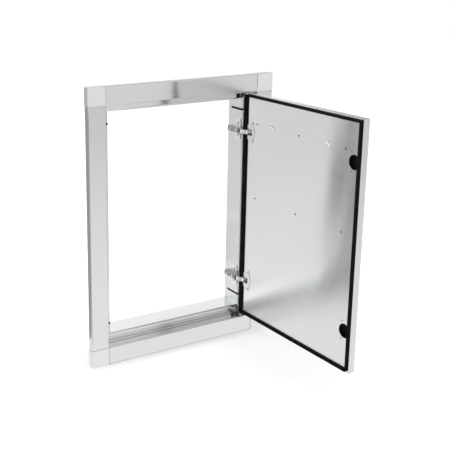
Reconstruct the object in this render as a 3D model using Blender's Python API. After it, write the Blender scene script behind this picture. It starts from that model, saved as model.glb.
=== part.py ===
# Access door for an outdoor kitchen: a folded stainless face frame with an inset door that swings
# on two concealed hinges. Lengths are in metres, +Z is up and the front faces -Y.
# The origin lies in the middle of the bottom rail's hem, on the face that seats on the island.
import math

import bmesh
import bpy
from mathutils import Matrix, Vector

# Face frame
frame_width = 0.520
frame_height = 0.698
stile_width = 0.046
rail_width = 0.045
return_depth = 0.018
hem_width = 0.012
recess_depth = 0.033
lip_width = 0.021
jamb_depth = 0.097
rear_return_width = 0.012
frame_sheet = 0.0012
frame_bend = 0.0015
lip_bend = 0.0042
mitre_gap = 0.00025
seat_gap = 0.0003

# Fixing slots in the jambs, with their plugs
slot_from_end = 0.095
slot_height = 0.005
slot_rear_from_front = 0.084
slot_front_from_front = 0.027
slot_wrap = 0.005
plug_recess = 0.0003
plug_flange_thickness = 0.003
plug_flange_margin = 0.002
plug_flange_start = 0.037

# Corner pieces, whose tongues are driven into the folded sides
corner_proud = 0.0006
corner_wall = 0.003
corner_round = 0.0018
tongue_inset = 0.0035
tongue_width = 0.030
tongue_length = 0.026
tongue_front_gap = 0.0004

# Door leaf
door_gap = 0.003
door_thickness = 0.019
door_set_back = 0.006
door_sheet = 0.001
door_bend = 0.003
door_corner_round = 0.0012
door_hem = 0.007
panel_sheet = 0.001

# Swing axis, measured from the closed door's hinge edge and inner face
axis_from_edge = 0.0072
axis_from_inner_face = 0.0109
open_angle = math.radians(92.0)

# Door seal
seal_inset = 0.0035
seal_width = 0.007
seal_height = 0.007
seal_round = 0.003
seal_notch = 0.012

# Hinges
hinge_from_end = 0.100
cup_from_edge = 0.022
cup_radius = 0.0173
cup_hole_radius = 0.0175
cup_wall = 0.0008
cup_depth = 0.0129
cup_flange_thickness = 0.001
cup_slot_height = 0.0164
cup_slot_reach = 0.0102
cup_lever_width = 0.005
cup_lever_height = 0.0034
cup_lever_rise = 0.0014
cup_lever_drop = 0.0104
cup_lever_hole_drop = 0.0130
cup_lever_hole_radius = 0.0010
cup_lug_reach = 0.011
cup_lug_sheet = 0.001
cup_lug_recess = 0.0006
cup_flange_rim = 0.0025
cup_screw_spacing = 0.045
cup_screw_offset = 0.0095
cup_wing_radius = 0.0062
cup_screw_hole_radius = 0.0021
cup_screw_shank_radius = 0.0018
cup_screw_head_radius = 0.0036
cup_screw_head_height = 0.0016
cup_screw_length = 0.009

plate_thickness = 0.0022
plate_wing_height = 0.055
plate_wing_depth = 0.024
plate_wing_front = 0.037
plate_wing_round = 0.007
plate_body_height = 0.016
plate_body_length = 0.046
plate_body_round = 0.003
plate_screw_spacing = 0.032
plate_screw_hole_radius = 0.0024
plate_screw_shank_radius = 0.0020
plate_screw_head_radius = 0.0042
plate_screw_head_height = 0.0020
plate_screw_length = 0.010

arm_height = 0.014
arm_sheet = 0.0015
arm_standoff = 0.0145
arm_rear = 0.078
arm_web_front = 0.030
arm_nose_radius = 0.0030
arm_nose_reach = 0.006
pin_radius = 0.0012
pin_clearance = 0.0002
pin_head = 0.0004
outer_pin_standoff = 0.012
outer_pin_depth = 0.020
inner_pin_standoff = 0.010
inner_pin_depth = 0.025
outer_link_pole_radius = 0.011
inner_link_pole_radius = 0.011
outer_link_height = 0.0104
inner_link_height = 0.0046
inner_barrel_height = 0.0096
fork_length = 0.0065
fork_clearance = 0.0004
outer_link_sheet = 0.0022
inner_link_sheet = 0.0018
link_barrel_radius = 0.0022
link_end_radius = 0.0016
# The outer link's two bends at rest, from the jamb's face and from the frame's front
rear_bend_standoff = 0.0085
rear_bend_depth = 0.0100
front_bend_standoff = 0.0044
front_bend_depth = 0.0018
outer_link_bend_radius = 0.0022
front_adjuster_depth = 0.041
rear_adjuster_depth = 0.066
adjuster_head_radius = 0.0034
adjuster_head_height = 0.0014
adjuster_shank_radius = 0.0018
adjuster_hole_radius = 0.0024
drive_slot_width = 0.0009
drive_slot_length = 0.0044
drive_slot_depth = 0.0008

# Handle, held by two screws from inside the door
handle_from_top = 0.0755
handle_bar_radius = 0.007
handle_bar_length = 0.262
handle_bar_overhang = 0.0295
handle_bar_standoff = 0.038
handle_bar_edge = 0.0015
handle_post_radius = 0.0055
handle_post_foot_radius = 0.009
handle_post_foot_height = 0.003
handle_screw_radius = 0.0025
handle_screw_hole_radius = 0.0028
handle_screw_head_radius = 0.0078
handle_screw_head_height = 0.0042
handle_screw_bite = 0.012
hex_socket_radius = 0.0025
hex_socket_depth = 0.0020

# Screw holes for inside racks, and the liners of the spare hinge holes
rack_from_edge = 0.051
rack_upper_row_from_top = 0.0745
rack_lower_row_from_top = 0.2690
rack_hole_radius = 0.0020
spare_cup_recess = 0.0004
spare_cup_wall = 0.0012
spare_cup_depth = 0.0125
spare_pilot_radius = 0.0017

# Stiffeners inside the door
stiffener_from_handle_screw = 0.021
stiffener_width = 0.022
stiffener_sheet = 0.001
stiffener_end_gap = 0.022

# One overrun serves every cut
overrun = 0.002
fine = 24
coarse = 12
cup_sides = 40
bend_steps = 4
round_profile = 0.5

# Places that follow from the sizes above
left = -frame_width / 2
right = frame_width / 2
bottom = -hem_width / 2
top = bottom + frame_height
front = -return_depth
opening_left = left + stile_width
opening_right = right - stile_width
opening_bottom = bottom + rail_width
opening_top = top - rail_width
jamb_right = opening_right - lip_width
door_width = opening_right - opening_left - 2 * door_gap
door_height = opening_top - opening_bottom - 2 * door_gap
door_bottom = opening_bottom + door_gap
axis_x = opening_right - door_gap - axis_from_edge
axis_y = front + door_set_back + door_thickness - axis_from_inner_face
hinge_heights = {"lower": hinge_from_end, "upper": door_height - hinge_from_end}


def clear_scene():
    for item in list(bpy.data.objects):
        bpy.data.objects.remove(item, do_unlink=True)


def make_material(name, colour, metallic, roughness):
    material = bpy.data.materials.new(name)
    material.use_nodes = True
    shader = material.node_tree.nodes["Principled BSDF"]
    shader.inputs["Base Color"].default_value = (*colour, 1.0)
    shader.inputs["Metallic"].default_value = metallic
    shader.inputs["Roughness"].default_value = roughness
    material.diffuse_color = (*colour, 1.0)
    return material


def add_object(name, mesh, material, location=(0.0, 0.0, 0.0), parent=None):
    mesh.materials.clear()
    mesh.materials.append(material)
    mesh.shade_smooth()
    mesh.set_sharp_from_angle(angle=math.radians(30.0))
    item = bpy.data.objects.new(name, mesh)
    bpy.context.scene.collection.objects.link(item)
    item.location = location
    item.parent = parent
    return item


def finished(shape):
    # Turns a bmesh into a mesh with its faces outward
    bmesh.ops.recalc_face_normals(shape, faces=shape.faces[:])
    mesh = bpy.data.meshes.new("shape")
    shape.to_mesh(mesh)
    shape.free()
    return mesh


def bar(outline, start_of, end_of, place):
    # Carries a closed outline of (u, v) points along w; each end follows a rule of u.
    # place turns (u, v, w) into a point. Triangulated ends let the rule have a corner.
    shape = bmesh.new()
    near = [shape.verts.new(place(u, v, start_of(u))) for u, v in outline]
    far = [shape.verts.new(place(u, v, end_of(u))) for u, v in outline]
    count = len(outline)
    for index in range(count):
        following = (index + 1) % count
        shape.faces.new((near[index], near[following], far[following], far[index]))
    ends = [shape.faces.new(near), shape.faces.new(list(reversed(far)))]
    bmesh.ops.triangulate(shape, faces=ends, ngon_method="BEAUTY")
    return finished(shape)


def arc(centre, radius, start, end, steps):
    points = []
    for step in range(steps + 1):
        angle = start + (end - start) * step / steps
        points.append((centre[0] + radius * math.cos(angle), centre[1] + radius * math.sin(angle)))
    return points


def circle(centre, radius, steps):
    return arc(centre, radius, 0.0, 2 * math.pi * (steps - 1) / steps, steps - 1)


def rounded_box_outline(low, high, radius):
    corners = (
        ((high[0] - radius, high[1] - radius), 0.0),
        ((low[0] + radius, high[1] - radius), math.pi / 2),
        ((low[0] + radius, low[1] + radius), math.pi),
        ((high[0] - radius, low[1] + radius), 3 * math.pi / 2),
    )
    points = []
    for centre, start in corners:
        points += arc(centre, radius, start, start + math.pi / 2, bend_steps)
    return points


def capsule(first, second, radius, steps):
    # Outline of a slot or a rod with round ends
    along = math.atan2(second[1] - first[1], second[0] - first[0])
    outline = arc(second, radius, along - math.pi / 2, along + math.pi / 2, steps)
    return outline + arc(first, radius, along + math.pi / 2, along + 3 * math.pi / 2, steps)


def folded_stations(path, radii, steps):
    # Follows a path with a round bend at each inner point; gives (point, left normal) pairs
    stations = []
    points = [Vector(point) for point in path]
    normals = []
    for first, second in zip(points[:-1], points[1:]):
        along = (second - first).normalized()
        normals.append(Vector((-along.y, along.x)))
    stations.append((points[0], normals[0]))
    for index in range(1, len(points) - 1):
        before, after = normals[index - 1], normals[index]
        turn = math.atan2(before.x * after.y - before.y * after.x, before.dot(after))
        side = 1.0 if turn > 0 else -1.0
        radius = radii[index - 1]
        back = radius * math.tan(abs(turn) / 2)
        incoming = Vector((before.y, -before.x))
        centre = points[index] - incoming * back + before * radius * side
        for step in range(steps + 1):
            angle = turn * step / steps
            normal = Matrix.Rotation(angle, 2) @ before
            stations.append((centre - normal * radius * side, normal))
    stations.append((points[-1], normals[-1]))
    return stations


def folded_bar(path, radii, thickness, start_of, end_of, place, steps=bend_steps):
    # A strip of sheet with bends, as one closed skin of quads between its two sides
    stations = folded_stations(path, radii, steps)
    shape = bmesh.new()
    rings = []
    for point, normal in stations:
        ring = []
        for side in (0.5, -0.5):
            u, v = point + normal * thickness * side
            ring.append((shape.verts.new(place(u, v, start_of(u))), shape.verts.new(place(u, v, end_of(u)))))
        rings.append(ring)
    for first, second in zip(rings[:-1], rings[1:]):
        for side in (0, 1):
            shape.faces.new((first[side][0], second[side][0], second[side][1], first[side][1]))
        for end in (0, 1):
            shape.faces.new((first[0][end], second[0][end], second[1][end], first[1][end]))
    for ring in (rings[0], rings[-1]):
        shape.faces.new((ring[0][0], ring[0][1], ring[1][1], ring[1][0]))
    bmesh.ops.triangulate(shape, faces=shape.faces[:])
    return finished(shape)


def turned(profile, steps, place):
    # Turns a closed (radius, height) profile about its axis; place turns (x, y, height) into a point
    shape = bmesh.new()
    rings = []
    for step in range(steps):
        angle = 2 * math.pi * step / steps
        ring = []
        for radius, height in profile:
            ring.append(shape.verts.new(place(radius * math.cos(angle), radius * math.sin(angle), height)))
        rings.append(ring)
    for step in range(steps):
        near, far = rings[step], rings[(step + 1) % steps]
        for index in range(len(profile)):
            following = (index + 1) % len(profile)
            if profile[index][0] > 0.0 or profile[following][0] > 0.0:
                shape.faces.new((near[index], near[following], far[following], far[index]))
    bmesh.ops.remove_doubles(shape, verts=shape.verts[:], dist=seat_gap / 100)
    return finished(shape)


def combined(base, others, operation):
    # Joins or cuts meshes with exact Booleans and gives back one mesh
    holder = bpy.data.objects.new("holder", base)
    bpy.context.scene.collection.objects.link(holder)
    helpers = [holder]
    for other in others:
        helper = bpy.data.objects.new("helper", other)
        bpy.context.scene.collection.objects.link(helper)
        helpers.append(helper)
        modifier = holder.modifiers.new("combine", "BOOLEAN")
        modifier.operation = operation
        modifier.solver = "EXACT"
        modifier.object = helper
    bpy.context.view_layer.update()
    evaluated = holder.evaluated_get(bpy.context.evaluated_depsgraph_get())
    result = bpy.data.meshes.new_from_object(evaluated)
    for helper in helpers:
        bpy.data.objects.remove(helper, do_unlink=True)
    return result


def cut(base, cutters):
    # One cut by several solids that lie clear of each other
    return combined(base, [joined(cutters)], "DIFFERENCE")


def joined(meshes):
    # Puts separate solids into one mesh
    shape = bmesh.new()
    for mesh in meshes:
        shape.from_mesh(mesh)
    return finished(shape)


def stile_place(side):
    # A stile's profile runs from its outer edge inward (u), then back (v), and its length is up (w)
    edge, sign = (left, 1.0) if side == "left" else (right, -1.0)
    return lambda u, v, w: (edge + sign * u, front + v, bottom + w)


def rail_place(side):
    edge, sign = (bottom, 1.0) if side == "bottom" else (top, -1.0)
    return lambda u, v, w: (left + w, front + v, edge + sign * u)


def frame_profile(face_width):
    half = frame_sheet / 2
    return [
        (hem_width, return_depth - half),
        (half, return_depth - half),
        (half, half),
        (face_width - half, half),
        (face_width - half, recess_depth + half),
        (face_width + lip_width - half, recess_depth + half),
        (face_width + lip_width - half, jamb_depth - half),
        (face_width + lip_width - rear_return_width, jamb_depth - half),
    ]


def frame_side(face_width, corner_length, length, place):
    # The face stops at the corner pieces; what lies further in is mitred
    def start(u):
        return corner_length + mitre_gap + max(0.0, u - face_width)

    def end(u):
        return length - start(u)

    radii = [frame_bend, frame_bend, frame_bend, frame_bend, lip_bend, frame_bend]
    return folded_bar(frame_profile(face_width), radii, frame_sheet, start, end, place)


def slot_heights():
    return (slot_from_end, frame_height - slot_from_end)


def slot_cutter(height, place):
    half = slot_height / 2
    outline = capsule((slot_front_from_front + half, height), (slot_rear_from_front - half, height),
                      half, bend_steps * 2)
    inner = stile_width + lip_width
    return bar(outline, lambda v: inner - slot_wrap, lambda v: inner + overrun,
               lambda v, w, u: place(u, v, w))


def plate_screw_places():
    # (depth behind the frame's front, height above the frame's bottom) of every hinge plate screw
    middle = plate_wing_front + plate_wing_depth / 2
    places = []
    for height in hinge_heights.values():
        for side in (-1, 1):
            places.append((middle, door_bottom - bottom + height + side * plate_screw_spacing / 2))
    return places


def frame_stile(side, material):
    place = stile_place(side)
    mesh = frame_side(stile_width, rail_width, frame_height, place)
    cutters = [slot_cutter(height, place) for height in slot_heights()]
    inner = stile_width + lip_width
    for depth, height in plate_screw_places():
        hole = circle((depth, height), plate_screw_hole_radius, coarse)
        cutters.append(bar(hole, lambda v: inner - frame_sheet - overrun, lambda v: inner + overrun,
                           lambda v, w, u: place(u, v, w)))
    add_object("frame_stile_" + side, cut(mesh, cutters), material)


def frame_rail(side, material):
    place = rail_place(side)
    add_object("frame_rail_" + side, frame_side(rail_width, stile_width, frame_width, place), material)


def slot_plugs(material):
    # A nylon plug closes each fixing slot from behind the jamb
    inner = stile_width + lip_width
    half = slot_height / 2 - seat_gap
    behind_lip = recess_depth + seat_gap
    for side in ("left", "right"):
        place = stile_place(side)
        for end, height in zip(("lower", "upper"), slot_heights()):
            ends = ((slot_front_from_front + slot_height / 2, height),
                    (slot_rear_from_front - slot_height / 2, height))
            core = bar(capsule(*ends, half, bend_steps * 2), lambda v: inner - slot_wrap + seat_gap,
                       lambda v: inner - plug_recess, lambda v, w, u: place(u, v, w))
            front_waste = bar(((0.0, height - slot_height), (behind_lip, height - slot_height),
                               (behind_lip, height + slot_height), (0.0, height + slot_height)),
                              lambda v: 0.0, lambda v: inner + overrun, lambda v, w, u: place(u, v, w))
            core = combined(core, [front_waste], "DIFFERENCE")
            margin = half + plug_flange_margin
            flange = bar(capsule((plug_flange_start + margin, height),
                                 (slot_rear_from_front - slot_height / 2, height), margin, bend_steps * 2),
                         lambda v: inner - frame_sheet - seat_gap - plug_flange_thickness,
                         lambda v: inner - frame_sheet - seat_gap, lambda v, w, u: place(u, v, w))
            add_object("slot_plug_" + end + "_" + side, combined(core, [flange], "UNION"), material)


def corner_frames():
    # For each corner: its name, and a rule that turns (inset from the side, depth, inset from the end)
    corners = []
    for end, level, up in (("top", top, -1.0), ("bottom", bottom, 1.0)):
        for side, edge, inward in (("left", left, 1.0), ("right", right, -1.0)):
            def place(u, v, w, edge=edge, inward=inward, level=level, up=up):
                return (edge + inward * u, front + v, level + up * w)
            corners.append((end + "_" + side, place))
    return corners


def placed_box(low, high, place):
    outline = ((low[0], low[1]), (high[0], low[1]), (high[0], high[1]), (low[0], high[1]))
    return bar(outline, lambda u: low[2], lambda u: high[2], place)


def corner_piece(name, place, material):
    outer = -corner_proud
    width = stile_width - seat_gap
    height = rail_width - seat_gap
    shell = placed_box((outer, outer, outer), (width, return_depth, height), place)
    rounded = bmesh.new()
    rounded.from_mesh(shell)
    edges = []
    face = front + outer
    side = place(outer, 0.0, 0.0)[0]
    level = place(0.0, 0.0, outer)[2]
    for edge in rounded.edges:
        ends = [vertex.co for vertex in edge.verts]
        on_face = all(abs(end.y - face) < seat_gap / 10 for end in ends)
        on_side = all(abs(end.x - side) < seat_gap / 10 for end in ends)
        on_end = all(abs(end.z - level) < seat_gap / 10 for end in ends)
        if on_face + on_side + on_end >= 2:
            edges.append(edge)
    bmesh.ops.bevel(rounded, geom=edges, offset=corner_round, segments=bend_steps, profile=round_profile,
                    affect="EDGES", clamp_overlap=True)
    shell = finished(rounded)
    pocket = placed_box((outer + corner_wall, outer + corner_wall, outer + corner_wall),
                        (width - corner_wall, return_depth + overrun, height - corner_wall), place)
    shell = combined(shell, [pocket], "DIFFERENCE")
    tongue_front = frame_sheet + tongue_front_gap
    tongue_back = return_depth - frame_sheet - seat_gap
    across = placed_box((width - corner_wall / 2, tongue_front, tongue_inset),
                        (stile_width + tongue_length, tongue_back, tongue_inset + tongue_width), place)
    along = placed_box((tongue_inset, tongue_front, height - corner_wall / 2),
                       (tongue_inset + tongue_width, tongue_back, rail_width + tongue_length), place)
    piece = combined(shell, [across, along], "UNION")
    add_object("frame_corner_" + name, piece, material)


def door_point(s, d, z):
    # s runs from the hinge edge, d from the inner face into the door, z up from the door's bottom
    return (axis_from_edge - s, axis_from_inner_face - d, z)


def door_prism(outline, low, high):
    # The outline lies in (s, z), and the solid runs in d
    return bar(outline, lambda s: low, lambda s: high, lambda s, z, d: door_point(s, d, z))


def door_round(s, z, radius, low, high, steps=coarse):
    return door_prism(circle((s, z), radius, steps), low, high)


def cup_centres():
    return [(cup_from_edge, height) for height in hinge_heights.values()]


def spare_cup_centres():
    return [(door_width - cup_from_edge, height) for height in hinge_heights.values()]


def cup_screw_places(centre, inward):
    s, z = centre
    return [(s + inward * cup_screw_offset, z + side * cup_screw_spacing / 2) for side in (-1, 1)]


def handle_places():
    height = door_height - handle_from_top
    reach = handle_bar_length / 2 - handle_bar_overhang
    return [(door_width / 2 + side * reach, height) for side in (-1, 1)]


def rack_places():
    places = []
    for drop in (rack_upper_row_from_top, rack_lower_row_from_top):
        for s in (rack_from_edge, door_width / 2, door_width - rack_from_edge):
            places.append((s, door_height - drop))
    return places


def door_cutters(low, high):
    cutters = []
    for s, z in cup_centres() + spare_cup_centres():
        cutters.append(door_round(s, z, cup_hole_radius, low, high, cup_sides))
    return cutters


def door_skin(axis, material):
    outline = rounded_box_outline((0.0, 0.0), (door_width, door_height), door_corner_round)
    shell = bmesh.new()
    shell.from_mesh(door_prism(outline, 0.0, door_thickness))
    bmesh.ops.dissolve_limit(shell, angle_limit=math.radians(1.0), verts=shell.verts[:],
                             edges=shell.edges[:])
    face = axis_from_inner_face - door_thickness
    edges = [edge for edge in shell.edges
             if all(abs(vertex.co.y - face) < seat_gap / 10 for vertex in edge.verts)]
    bmesh.ops.bevel(shell, geom=edges, offset=door_bend, segments=bend_steps, profile=round_profile,
                    affect="EDGES", clamp_overlap=False)
    pocket_outline = ((door_sheet, door_sheet), (door_width - door_sheet, door_sheet),
                      (door_width - door_sheet, door_height - door_sheet),
                      (door_sheet, door_height - door_sheet))
    slope = door_bend - door_sheet
    pocket = bmesh.new()
    pocket.from_mesh(door_prism(pocket_outline, door_sheet, door_thickness - door_sheet))
    bmesh.ops.dissolve_limit(pocket, angle_limit=math.radians(1.0), verts=pocket.verts[:],
                             edges=pocket.edges[:])
    inner_face = face + door_sheet
    edges = [edge for edge in pocket.edges
             if all(abs(vertex.co.y - inner_face) < seat_gap / 10 for vertex in edge.verts)]
    bmesh.ops.bevel(pocket, geom=edges, offset=slope, segments=bend_steps, profile=round_profile,
                    affect="EDGES", clamp_overlap=False)
    mouth_outline = ((door_hem, door_hem), (door_width - door_hem, door_hem),
                     (door_width - door_hem, door_height - door_hem), (door_hem, door_height - door_hem))
    mouth = door_prism(mouth_outline, -overrun, door_sheet + overrun)
    mesh = combined(finished(shell), [finished(pocket), mouth], "DIFFERENCE")
    cutters = door_cutters(-overrun, door_sheet + overrun)
    for s, z in handle_places():
        cutters.append(door_round(s, z, handle_screw_hole_radius, door_thickness - door_sheet - overrun,
                                  door_thickness + overrun))
    add_object("door_skin", cut(mesh, cutters), material, parent=axis)


def door_inner_panel(axis, material):
    inset = door_hem + seat_gap
    outline = ((inset, inset), (door_width - inset, inset),
               (door_width - inset, door_height - inset), (inset, door_height - inset))
    panel = door_prism(outline, 0.0, panel_sheet)
    low, high = -overrun, panel_sheet + overrun
    cutters = door_cutters(low, high)
    for s, z in rack_places():
        cutters.append(door_round(s, z, rack_hole_radius, low, high))
    for s, z in handle_places():
        cutters.append(door_round(s, z, handle_screw_hole_radius, low, high))
    for centre in cup_centres():
        for s, z in cup_screw_places(centre, 1):
            cutters.append(door_round(s, z, cup_screw_hole_radius, low, high))
    for centre in spare_cup_centres():
        for s, z in cup_screw_places(centre, -1):
            cutters.append(door_round(s, z, spare_pilot_radius, low, high))
    add_object("door_inner_panel", cut(panel, cutters), material, parent=axis)


def door_stiffeners(axis, material):
    # A channel beside each handle screw keeps the two skins apart
    back = panel_sheet + seat_gap + stiffener_sheet / 2
    face = door_thickness - door_sheet - seat_gap - stiffener_sheet / 2
    half = (stiffener_width - stiffener_sheet) / 2
    (first, height), (second, height) = handle_places()
    for name, middle in (("hinge_side", first + stiffener_from_handle_screw),
                         ("latch_side", second - stiffener_from_handle_screw)):
        path = [(middle - half, back), (middle - half, face), (middle + half, face), (middle + half, back)]
        mesh = folded_bar(path, [stiffener_sheet, stiffener_sheet], stiffener_sheet,
                          lambda u: stiffener_end_gap, lambda u: door_height - stiffener_end_gap,
                          lambda u, v, w: door_point(u, v, w))
        add_object("door_stiffener_" + name, mesh, material, parent=axis)


def seal_outline():
    # Flat foot on the door, round crown towards the frame; u is the inset, v the height off the door
    low, high = seal_inset, seal_inset + seal_width
    foot, crown = seat_gap, seat_gap + seal_height
    outline = [(low, foot)]
    outline += arc((low + seal_round, crown - seal_round), seal_round, math.pi, math.pi / 2, bend_steps)
    outline += arc((high - seal_round, crown - seal_round), seal_round, math.pi / 2, 0.0, bend_steps)
    outline.append((high, foot))
    return outline


def door_seals(axis, material):
    outline = seal_outline()

    def mitred(u):
        return u + mitre_gap

    upright = {
        "hinge_side": lambda u, v, w: door_point(u, -v, w),
        "latch_side": lambda u, v, w: door_point(door_width - u, -v, w),
    }
    across = {
        "bottom": lambda u, v, w: door_point(w, -v, u),
        "top": lambda u, v, w: door_point(w, -v, door_height - u),
    }
    for name, place in across.items():
        mesh = bar(outline, mitred, lambda u: door_width - mitred(u), place)
        add_object("door_seal_" + name, mesh, material, parent=axis)
    mesh = bar(outline, mitred, lambda u: door_height - mitred(u), upright["latch_side"])
    add_object("door_seal_latch_side", mesh, material, parent=axis)
    # The strip on the hinge side comes in three lengths, which leave room for the hinges' links
    half = seal_notch / 2
    lower, upper = hinge_heights["lower"], hinge_heights["upper"]
    lengths = {
        "bottom": (mitred, lambda u: lower - half),
        "middle": (lambda u: lower + half, lambda u: upper - half),
        "top": (lambda u: upper + half, lambda u: door_height - mitred(u)),
    }
    for name, (start, end) in lengths.items():
        mesh = bar(outline, start, end, upright["hinge_side"])
        add_object("door_seal_hinge_side_" + name, mesh, material, parent=axis)


def door_fittings(axis, bright, steel, black):
    # Liners in the spare hinge holes
    for which, (s, z) in zip(hinge_heights, spare_cup_centres()):
        rim, inner = cup_radius, cup_radius - spare_cup_wall
        profile = [
            (0.0, spare_cup_depth - spare_cup_wall),
            (inner, spare_cup_depth - spare_cup_wall),
            (inner, spare_cup_recess),
            (rim, spare_cup_recess),
            (rim, spare_cup_depth),
            (0.0, spare_cup_depth),
        ]
        mesh = turned(profile, cup_sides, lambda x, y, d: door_point(s + x, d, z + y))
        add_object(which + "_spare_hole_liner", mesh, black, parent=axis)

    # Handle
    height = door_height - handle_from_top
    bar_depth = door_thickness + handle_bar_standoff
    half = handle_bar_length / 2
    edge = handle_bar_edge
    profile = [
        (0.0, -half),
        (handle_bar_radius - edge, -half),
        (handle_bar_radius, -half + edge),
        (handle_bar_radius, half - edge),
        (handle_bar_radius - edge, half),
        (0.0, half),
    ]
    rod = turned(profile, fine, lambda x, y, w: door_point(door_width / 2 + w, bar_depth + x, height + y))
    sockets = []
    post_end = bar_depth - handle_bar_radius / 2
    for side, (s, z) in zip(("hinge_side", "latch_side"), handle_places()):
        sockets.append(door_round(s, z, handle_post_radius + seat_gap, 0.0, post_end + seat_gap))
        foot = door_thickness + seat_gap
        screw_end = foot + handle_screw_bite
        hole = handle_screw_radius + seat_gap
        profile = [
            (hole, foot),
            (handle_post_foot_radius, foot),
            (handle_post_foot_radius, foot + handle_post_foot_height),
            (handle_post_radius, foot + handle_post_foot_height),
            (handle_post_radius, post_end),
            (0.0, post_end),
            (0.0, screw_end + seat_gap),
            (hole, screw_end + seat_gap),
        ]
        post = turned(profile, fine, lambda x, y, d: door_point(s + x, d, z + y))
        add_object("handle_post_" + side, post, steel, parent=axis)
        crown = -seat_gap - handle_screw_head_height
        rise = handle_screw_head_height
        dome = [(handle_screw_head_radius * math.cos(angle), -seat_gap - rise * math.sin(angle))
                for angle in (math.pi / 2 * step / bend_steps for step in range(bend_steps))]
        flat = handle_screw_head_radius * math.cos(math.pi / 2 * (bend_steps - 1) / bend_steps)
        profile = [(0.0, crown), (flat * 0.5, crown)] + list(reversed(dome))
        profile += [(handle_screw_radius, -seat_gap), (handle_screw_radius, screw_end), (0.0, screw_end)]
        screw = turned(profile, fine, lambda x, y, d: door_point(s + x, d, z + y))
        socket = door_round(s, z, hex_socket_radius, crown - overrun, crown + hex_socket_depth, 6)
        add_object("handle_screw_" + side, combined(screw, [socket], "DIFFERENCE"), bright, parent=axis)
    add_object("handle_bar", cut(rod, sockets), steel, parent=axis)


def screw_with_head(place, head_radius, head_height, shank_radius, length):
    # A pan-head screw; depth 0 is the head's seat, and the head rises to negative depth
    profile = [
        (0.0, -head_height),
        (head_radius * 0.8, -head_height),
        (head_radius, -head_height * 0.5),
        (head_radius, 0.0),
        (shank_radius, 0.0),
        (shank_radius, length),
        (0.0, length),
    ]
    screw = turned(profile, coarse, place)
    slots = []
    for long, wide in ((drive_slot_length, drive_slot_width), (drive_slot_width, drive_slot_length)):
        outline = ((-long / 2, -wide / 2), (long / 2, -wide / 2), (long / 2, wide / 2), (-long / 2, wide / 2))
        slots.append(bar(outline, lambda u: -head_height - overrun,
                         lambda u: drive_slot_depth - head_height, place))
    return combined(screw, slots, "DIFFERENCE")


def hinge_place(level):
    # u is the distance out from the jamb's face, v the depth behind the frame's front, w up from the hinge
    return lambda u, v, w: (jamb_right - u, front + v, level + w)


def hinge_plate(name, level, material):
    place = hinge_place(level)
    low, high = seat_gap, seat_gap + plate_thickness
    wing = rounded_box_outline((plate_wing_front, -plate_wing_height / 2),
                               (plate_wing_front + plate_wing_depth, plate_wing_height / 2), plate_wing_round)
    body_front = plate_wing_front - plate_body_round
    body = rounded_box_outline((body_front, -plate_body_height / 2),
                               (body_front + plate_body_length, plate_body_height / 2), plate_body_round)
    turn = lambda v, w, u: place(u, v, w)
    mesh = bar(wing, lambda v: low, lambda v: high, turn)
    mesh = combined(mesh, [bar(body, lambda v: low, lambda v: high, turn)], "UNION")
    middle = plate_wing_front + plate_wing_depth / 2
    cutters = []
    for side in (-1, 1):
        hole = circle((middle, side * plate_screw_spacing / 2), plate_screw_hole_radius, coarse)
        cutters.append(bar(hole, lambda v: low - overrun, lambda v: high + overrun, turn))
    add_object(name, cut(mesh, cutters), material)


def plate_screws(name, level, material):
    place = hinge_place(level)
    middle = plate_wing_front + plate_wing_depth / 2
    seat = seat_gap + plate_thickness + seat_gap
    for end, side in (("bottom", -1), ("top", 1)):
        height = side * plate_screw_spacing / 2
        mesh = screw_with_head(lambda x, y, d: place(seat - d, middle + x, height + y),
                               plate_screw_head_radius, plate_screw_head_height,
                               plate_screw_shank_radius, plate_screw_length)
        add_object(name + "_" + end, mesh, material)


def hinge_arm(name, level, material):
    place = hinge_place(level)
    turn = lambda u, v, w: place(u, v, w)
    base = plate_thickness + 2 * seat_gap
    outer_pin = (outer_pin_standoff, outer_pin_depth)
    inner_pin = (inner_pin_standoff, inner_pin_depth)
    nose_root = (inner_pin_standoff - seat_gap, inner_pin_depth + arm_nose_reach)
    half = arm_height / 2
    parts = []
    for low, high in ((half - arm_sheet, half), (-half, -half + arm_sheet)):
        side = ((base, arm_web_front), (arm_standoff, arm_web_front),
                (arm_standoff, arm_rear), (base, arm_rear))
        parts.append(bar(side, lambda u, low=low: low, lambda u, high=high: high, turn))
        for first, second in ((outer_pin, inner_pin), (inner_pin, nose_root)):
            nose = capsule(first, second, arm_nose_radius, bend_steps * 2)
            parts.append(bar(nose, lambda u, low=low: low, lambda u, high=high: high, turn))
    web = ((arm_standoff - arm_sheet, arm_web_front), (arm_standoff, arm_web_front),
           (arm_standoff, arm_rear), (arm_standoff - arm_sheet, arm_rear))
    mesh = combined(bar(web, lambda u: -half, lambda u: half, turn), parts, "UNION")
    cutters = []
    for u, v in (outer_pin, inner_pin):
        hole = circle((u, v), pin_radius + pin_clearance, coarse)
        cutters.append(bar(hole, lambda u: -half - overrun, lambda u: half + overrun, turn))
    for depth in (front_adjuster_depth, rear_adjuster_depth):
        hole = circle((depth, 0.0), adjuster_hole_radius, coarse)
        cutters.append(bar(hole, lambda v: arm_standoff - arm_sheet - overrun,
                           lambda v: arm_standoff + overrun, lambda v, w, u: place(u, v, w)))
    add_object(name, cut(mesh, cutters), material)


def hinge_adjusters(name, level, material):
    place = hinge_place(level)
    seat = arm_standoff + seat_gap
    reach = seat - plate_thickness - 2 * seat_gap
    for end, depth in (("front", front_adjuster_depth), ("rear", rear_adjuster_depth)):
        mesh = screw_with_head(lambda x, y, d: place(seat - d, depth + x, y),
                               adjuster_head_radius, adjuster_head_height, adjuster_shank_radius, reach)
        add_object(name + "_" + end, mesh, material)


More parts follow.
